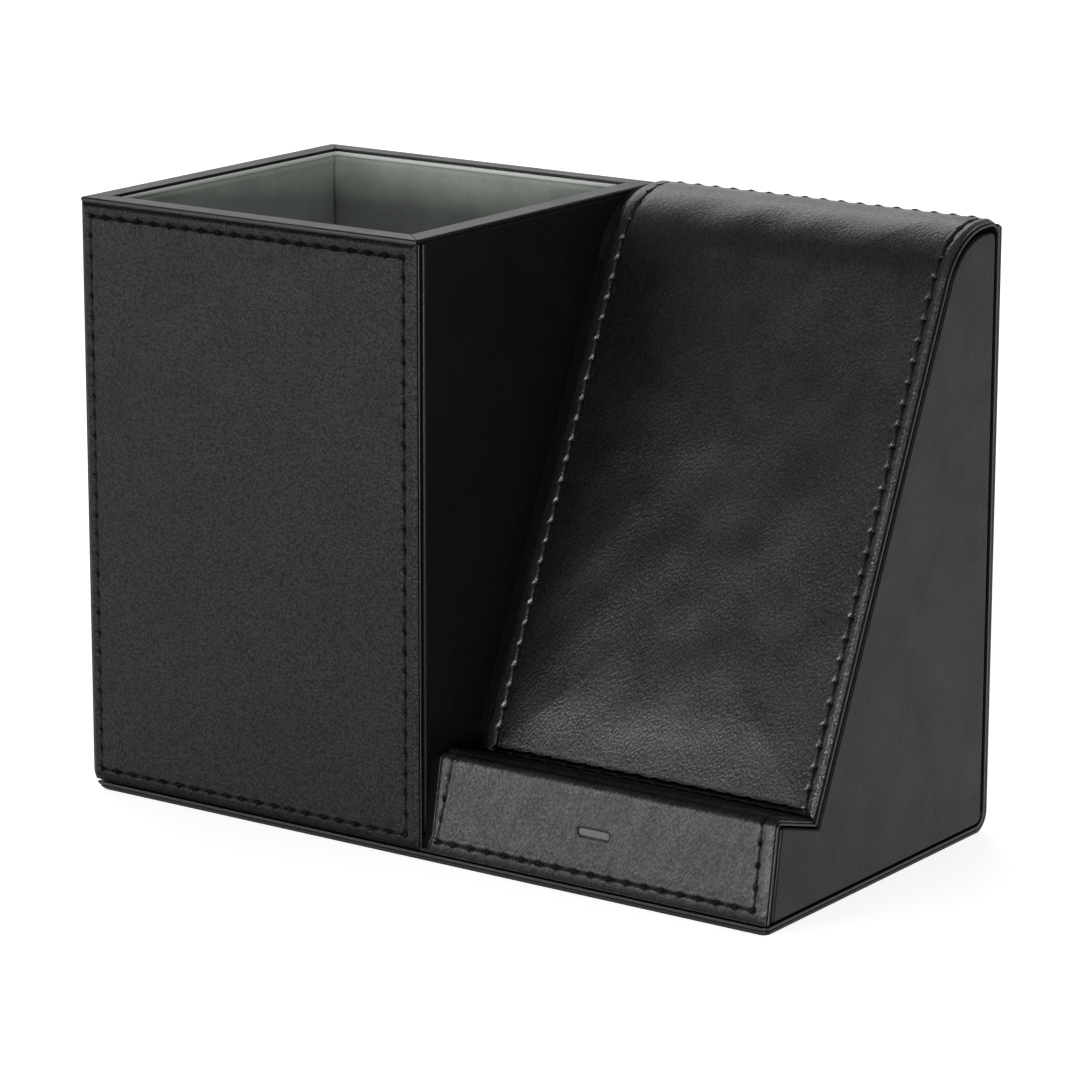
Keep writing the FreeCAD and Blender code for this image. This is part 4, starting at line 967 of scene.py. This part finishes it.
FINISHES = {
    "plain_leather": PLAIN_LEATHER,
    "stitched_leather": STITCHED_LEATHER,
    "wrapped_ply": PLY_LEATHER,
    "lining_suede": MICROFIBRE,
    # black, so the slot beside the cup shows dark: painted shade; flat and nearly lightless
    "grey_board": plain("black_board_as_painted_shade", ("#050505", "#090909"), 0.8, 0.02, 0.9,
                        shine=0.06),
    # black as painted shade where it shows in the slot: as dull, a little lighter
    "base_fibreboard": plain("black_fibreboard_as_painted_shade", ("#080808", "#0c0c0c"), 0.6, 0.03, 0.9,
                             shine=0.06),
    # a long soft grain, dark as painted shade where it shows in the slot
    "rail_wood": plain("dark_softwood_as_painted_shade", ("#0a0909", "#110f0e"), 1.5, 0.03, 0.8,
                       lie=(0.0, 12.0, 1.0), shine=0.1),
    # moulded with a fine even bloom
    "tray_plastic": plain("moulded_abs", ("#151516", "#1c1c1d"), 0.25, 0.015, 0.5),
    # copper's warm shine through clear enamel
    "coil_wire": plain("enamelled_copper", ("#a8562e", "#c06c3d"), 0.5, 0.02, 0.3, 1.0),
    # pressed and fired powder: grey and dull
    "ferrite": plain("sintered_ferrite", ("#2b2b2c", "#38383a"), 0.3, 0.01, 0.7),
    # plated: bright and nearly even
    "steel": plain("nickel_plated_steel", ("#b9b8b4", "#cac9c5"), 0.4, 0.004, 0.3, 1.0),
    # turned: yellow and bright
    "spacer_brass": plain("turned_brass", ("#b7904a", "#c9a45c"), 0.4, 0.004, 0.3, 1.0),
    # green under smooth lacquer
    "circuit_board": plain("lacquered_circuit_board", ("#0f4a26", "#17603a"), 1.2, 0.01, 0.35),
    # moulded: dark and dull
    "chip_plastic": plain("moulded_epoxy", ("#1d1d1e", "#28282a"), 0.2, 0.01, 0.6),
    # smoked dark and smooth, to hide the lamp
    "lens_plastic": plain("smoked_polycarbonate", ("#262627", "#2d2d2e"), 0.8, 0.003, 0.42),
    # soft vinyl: black with a low shine
    "lead_jacket": plain("soft_lead_jacket", ("#121212", "#1b1b1b"), 0.4, 0.008, 0.55),
}


# ---- Sheets turned over their edges ----
# name of a node, and the radius of the leather turned over its edges
WRAPPED = {
    "end_panel": 0.50, "cup_right_panel": 0.40, "cup_left_panel": 0.50,
    "rim_binding_front": 0.50, "rim_binding_right": 0.50,
    "rim_binding_back": 0.50, "rim_binding_left": 0.50,
    "cup_front_ply": 0.20, "slope_ply": 0.20, "lip_ply": 0.20,
    "base_skin": 0.25, "base_ply": 0.22, "back_skin": 0.30, "back_ply": 0.20,
}


def wrap(node, radius):
    """A node's shape with its edges rounded over, as leather turned round a board."""
    source = frame["nodes"][node]
    rough = bmesh.new()
    rough.from_mesh(source.data)
    bmesh.ops.remove_doubles(rough, verts=rough.verts, dist=0.001 * MM)
    bmesh.ops.dissolve_limit(rough, angle_limit=math.radians(0.5), verts=rough.verts,
                             edges=rough.edges)

    # The top edge of the back's sheets is pared down to the roll, most at the very back.
    if node.startswith("back_"):
        width, least, most = 1.5, 0.10, 0.80
        for vert in rough.verts:
            if vert.co.z > (BACK_TOP - 0.5) * MM:
                out = np.clip((vert.co.y / MM - BACK + width) / width, 0, 1)
                vert.co.z -= (least + most * out ** 1.5) * MM
    mesh = bpy.data.meshes.new(node + "_leather")
    rough.to_mesh(mesh)
    rough.free()
    made = put(node + "_leather", mesh)
    rounding = made.modifiers.new("rounding", "BEVEL")
    rounding.width, rounding.segments = radius * MM, 4
    rounding.limit_method, rounding.angle_limit = "ANGLE", math.radians(40)
    rounding.harden_normals = True
    made.data = bake(made)
    made.modifiers.clear()
    made.data.materials.clear()
    slot = SLOTS[node]
    made.data.materials.append(BINDING_LEATHER if node.startswith("rim_") else FINISHES[slot])
    tie(made, node)


def dress_frame():
    """Give every node of the frame the finish of its slot."""
    for node, slot in SLOTS.items():
        mesh = frame["nodes"][node].data
        if not mesh.materials:
            mesh.materials.append(FINISHES[slot])
        for index in range(len(mesh.materials)):
            mesh.materials[index] = FINISHES[slot]


# ---- Table, light and camera ----
def seen_or_mirrored(add):
    """1 for what the eye, a mirror or a glass sees directly, 0 for scattered light."""
    rays = add("ShaderNodeLightPath")
    share = rays["Is Camera Ray"]
    for kind in ("Is Glossy Ray", "Is Transmission Ray"):
        share = add("ShaderNodeMath", {0: share, 1: rays[kind]}, operation="MAXIMUM")[0]
    return share


def lay_table():
    """A pale table top that keeps the stand's shadow."""
    mesh = bpy.data.meshes.new("table_top")
    mesh.from_pydata([(x * TABLE_HALF, y * TABLE_HALF, 0) for x, y in (
        (-1, -1), (1, -1), (1, 1), (-1, 1))], [], [(0, 1, 2, 3)])
    material, add = begin("matt_white_laminate")
    surface = add("ShaderNodeBsdfDiffuse", {"Color": linear("#ececec")})
    lifted = add("ShaderNodeMath", {0: seen_or_mirrored(add), 1: TABLE_LIFT},
                 operation="MULTIPLY")
    glow = add("ShaderNodeEmission", {"Color": (1, 1, 1, 1), "Strength": lifted[0]})
    both = add("ShaderNodeAddShader", {0: surface[0], 1: glow[0]})
    add("ShaderNodeOutputMaterial", {"Surface": both[0]})
    mesh.materials.append(material)
    put("table_top", mesh)


def light_room():
    """A white backdrop, a dim room in front of it, and three wide lamps."""
    world = bpy.data.worlds.new("white_backdrop")
    bpy.context.scene.world = world
    world.use_nodes = True
    world.node_tree.nodes.clear()
    add = partial(add_node, world.node_tree)

    # The backdrop stands behind the stand: what faces the front mirrors the dim room instead.
    heading = add("ShaderNodeTexCoord")["Generated"]
    behind = add("ShaderNodeVectorMath", {0: heading, 1: BACKDROP_SIDE},
                 operation="DOT_PRODUCT")["Value"]
    mirrored = blend(add, behind, (0.35, 1.0), ROOM_GLOW, 1.0)
    seen = add("ShaderNodeMath",
               {0: add("ShaderNodeLightPath")["Is Camera Ray"], 1: mirrored},
               operation="MAXIMUM")[0]
    strength = blend(add, seen_or_mirrored(add), (0.0, 1.0), WORLD_LIGHT, seen)
    sky = add("ShaderNodeBackground", {"Color": (1, 1, 1, 1), "Strength": strength})
    add("ShaderNodeOutputWorld", {"Surface": sky[0]})

    # name, place, aim, width, height, watts
    for name, place, aim, width, height, power in (
            ("overhead_softbox", (-0.67, 0.66, 0.95), (0, 0, 0.10), 0.9, 0.36, 4.0),
            ("left_softbox", (-0.77, -1.51, 0.20), (0, 0, 0.06), 0.9, 0.40, 14.5),
            ("right_softbox", (0.73, -1.37, 0.16), (0, 0, 0.05), 0.5, 0.32, 19.0)):
        lamp = bpy.data.lights.new(name, "AREA")
        lamp.shape, lamp.size, lamp.size_y, lamp.energy = "RECTANGLE", width, height, power
        made = put(name, lamp)
        made.location = place
        made.rotation_euler = (Vector(aim) - Vector(place)).to_track_quat("-Z", "Y").to_euler()
        made.visible_camera = False


def set_camera():
    """The camera, from where it stands, where it looks and how far it is rolled."""
    stand = Vector((508.3, -719.6, 274.2)) * MM
    ahead = Vector((-0.5588, 0.7933, -0.2419)).normalized()
    side = Vector((0.8175, 0.5759, 0.0022))
    side = (side - ahead * side.dot(ahead)).normalized()
    above = side.cross(ahead)
    camera = bpy.data.cameras.new("camera")
    camera.sensor_width, camera.lens = 36.0, 154.97
    made = put("camera", camera)
    made.matrix_world = Matrix.Translation(stand) @ Matrix(
        (side, above, -ahead)).transposed().to_4x4()
    bpy.context.scene.camera = made


dress_frame()
for wrapped_node, edge_radius in WRAPPED.items():
    wrap(wrapped_node, edge_radius)
cup_front()
slope()
lip()
line_cup()
pipe_cup()
lay_table()
light_room()
set_camera()
bpy.context.scene.view_settings.view_transform = "Standard"
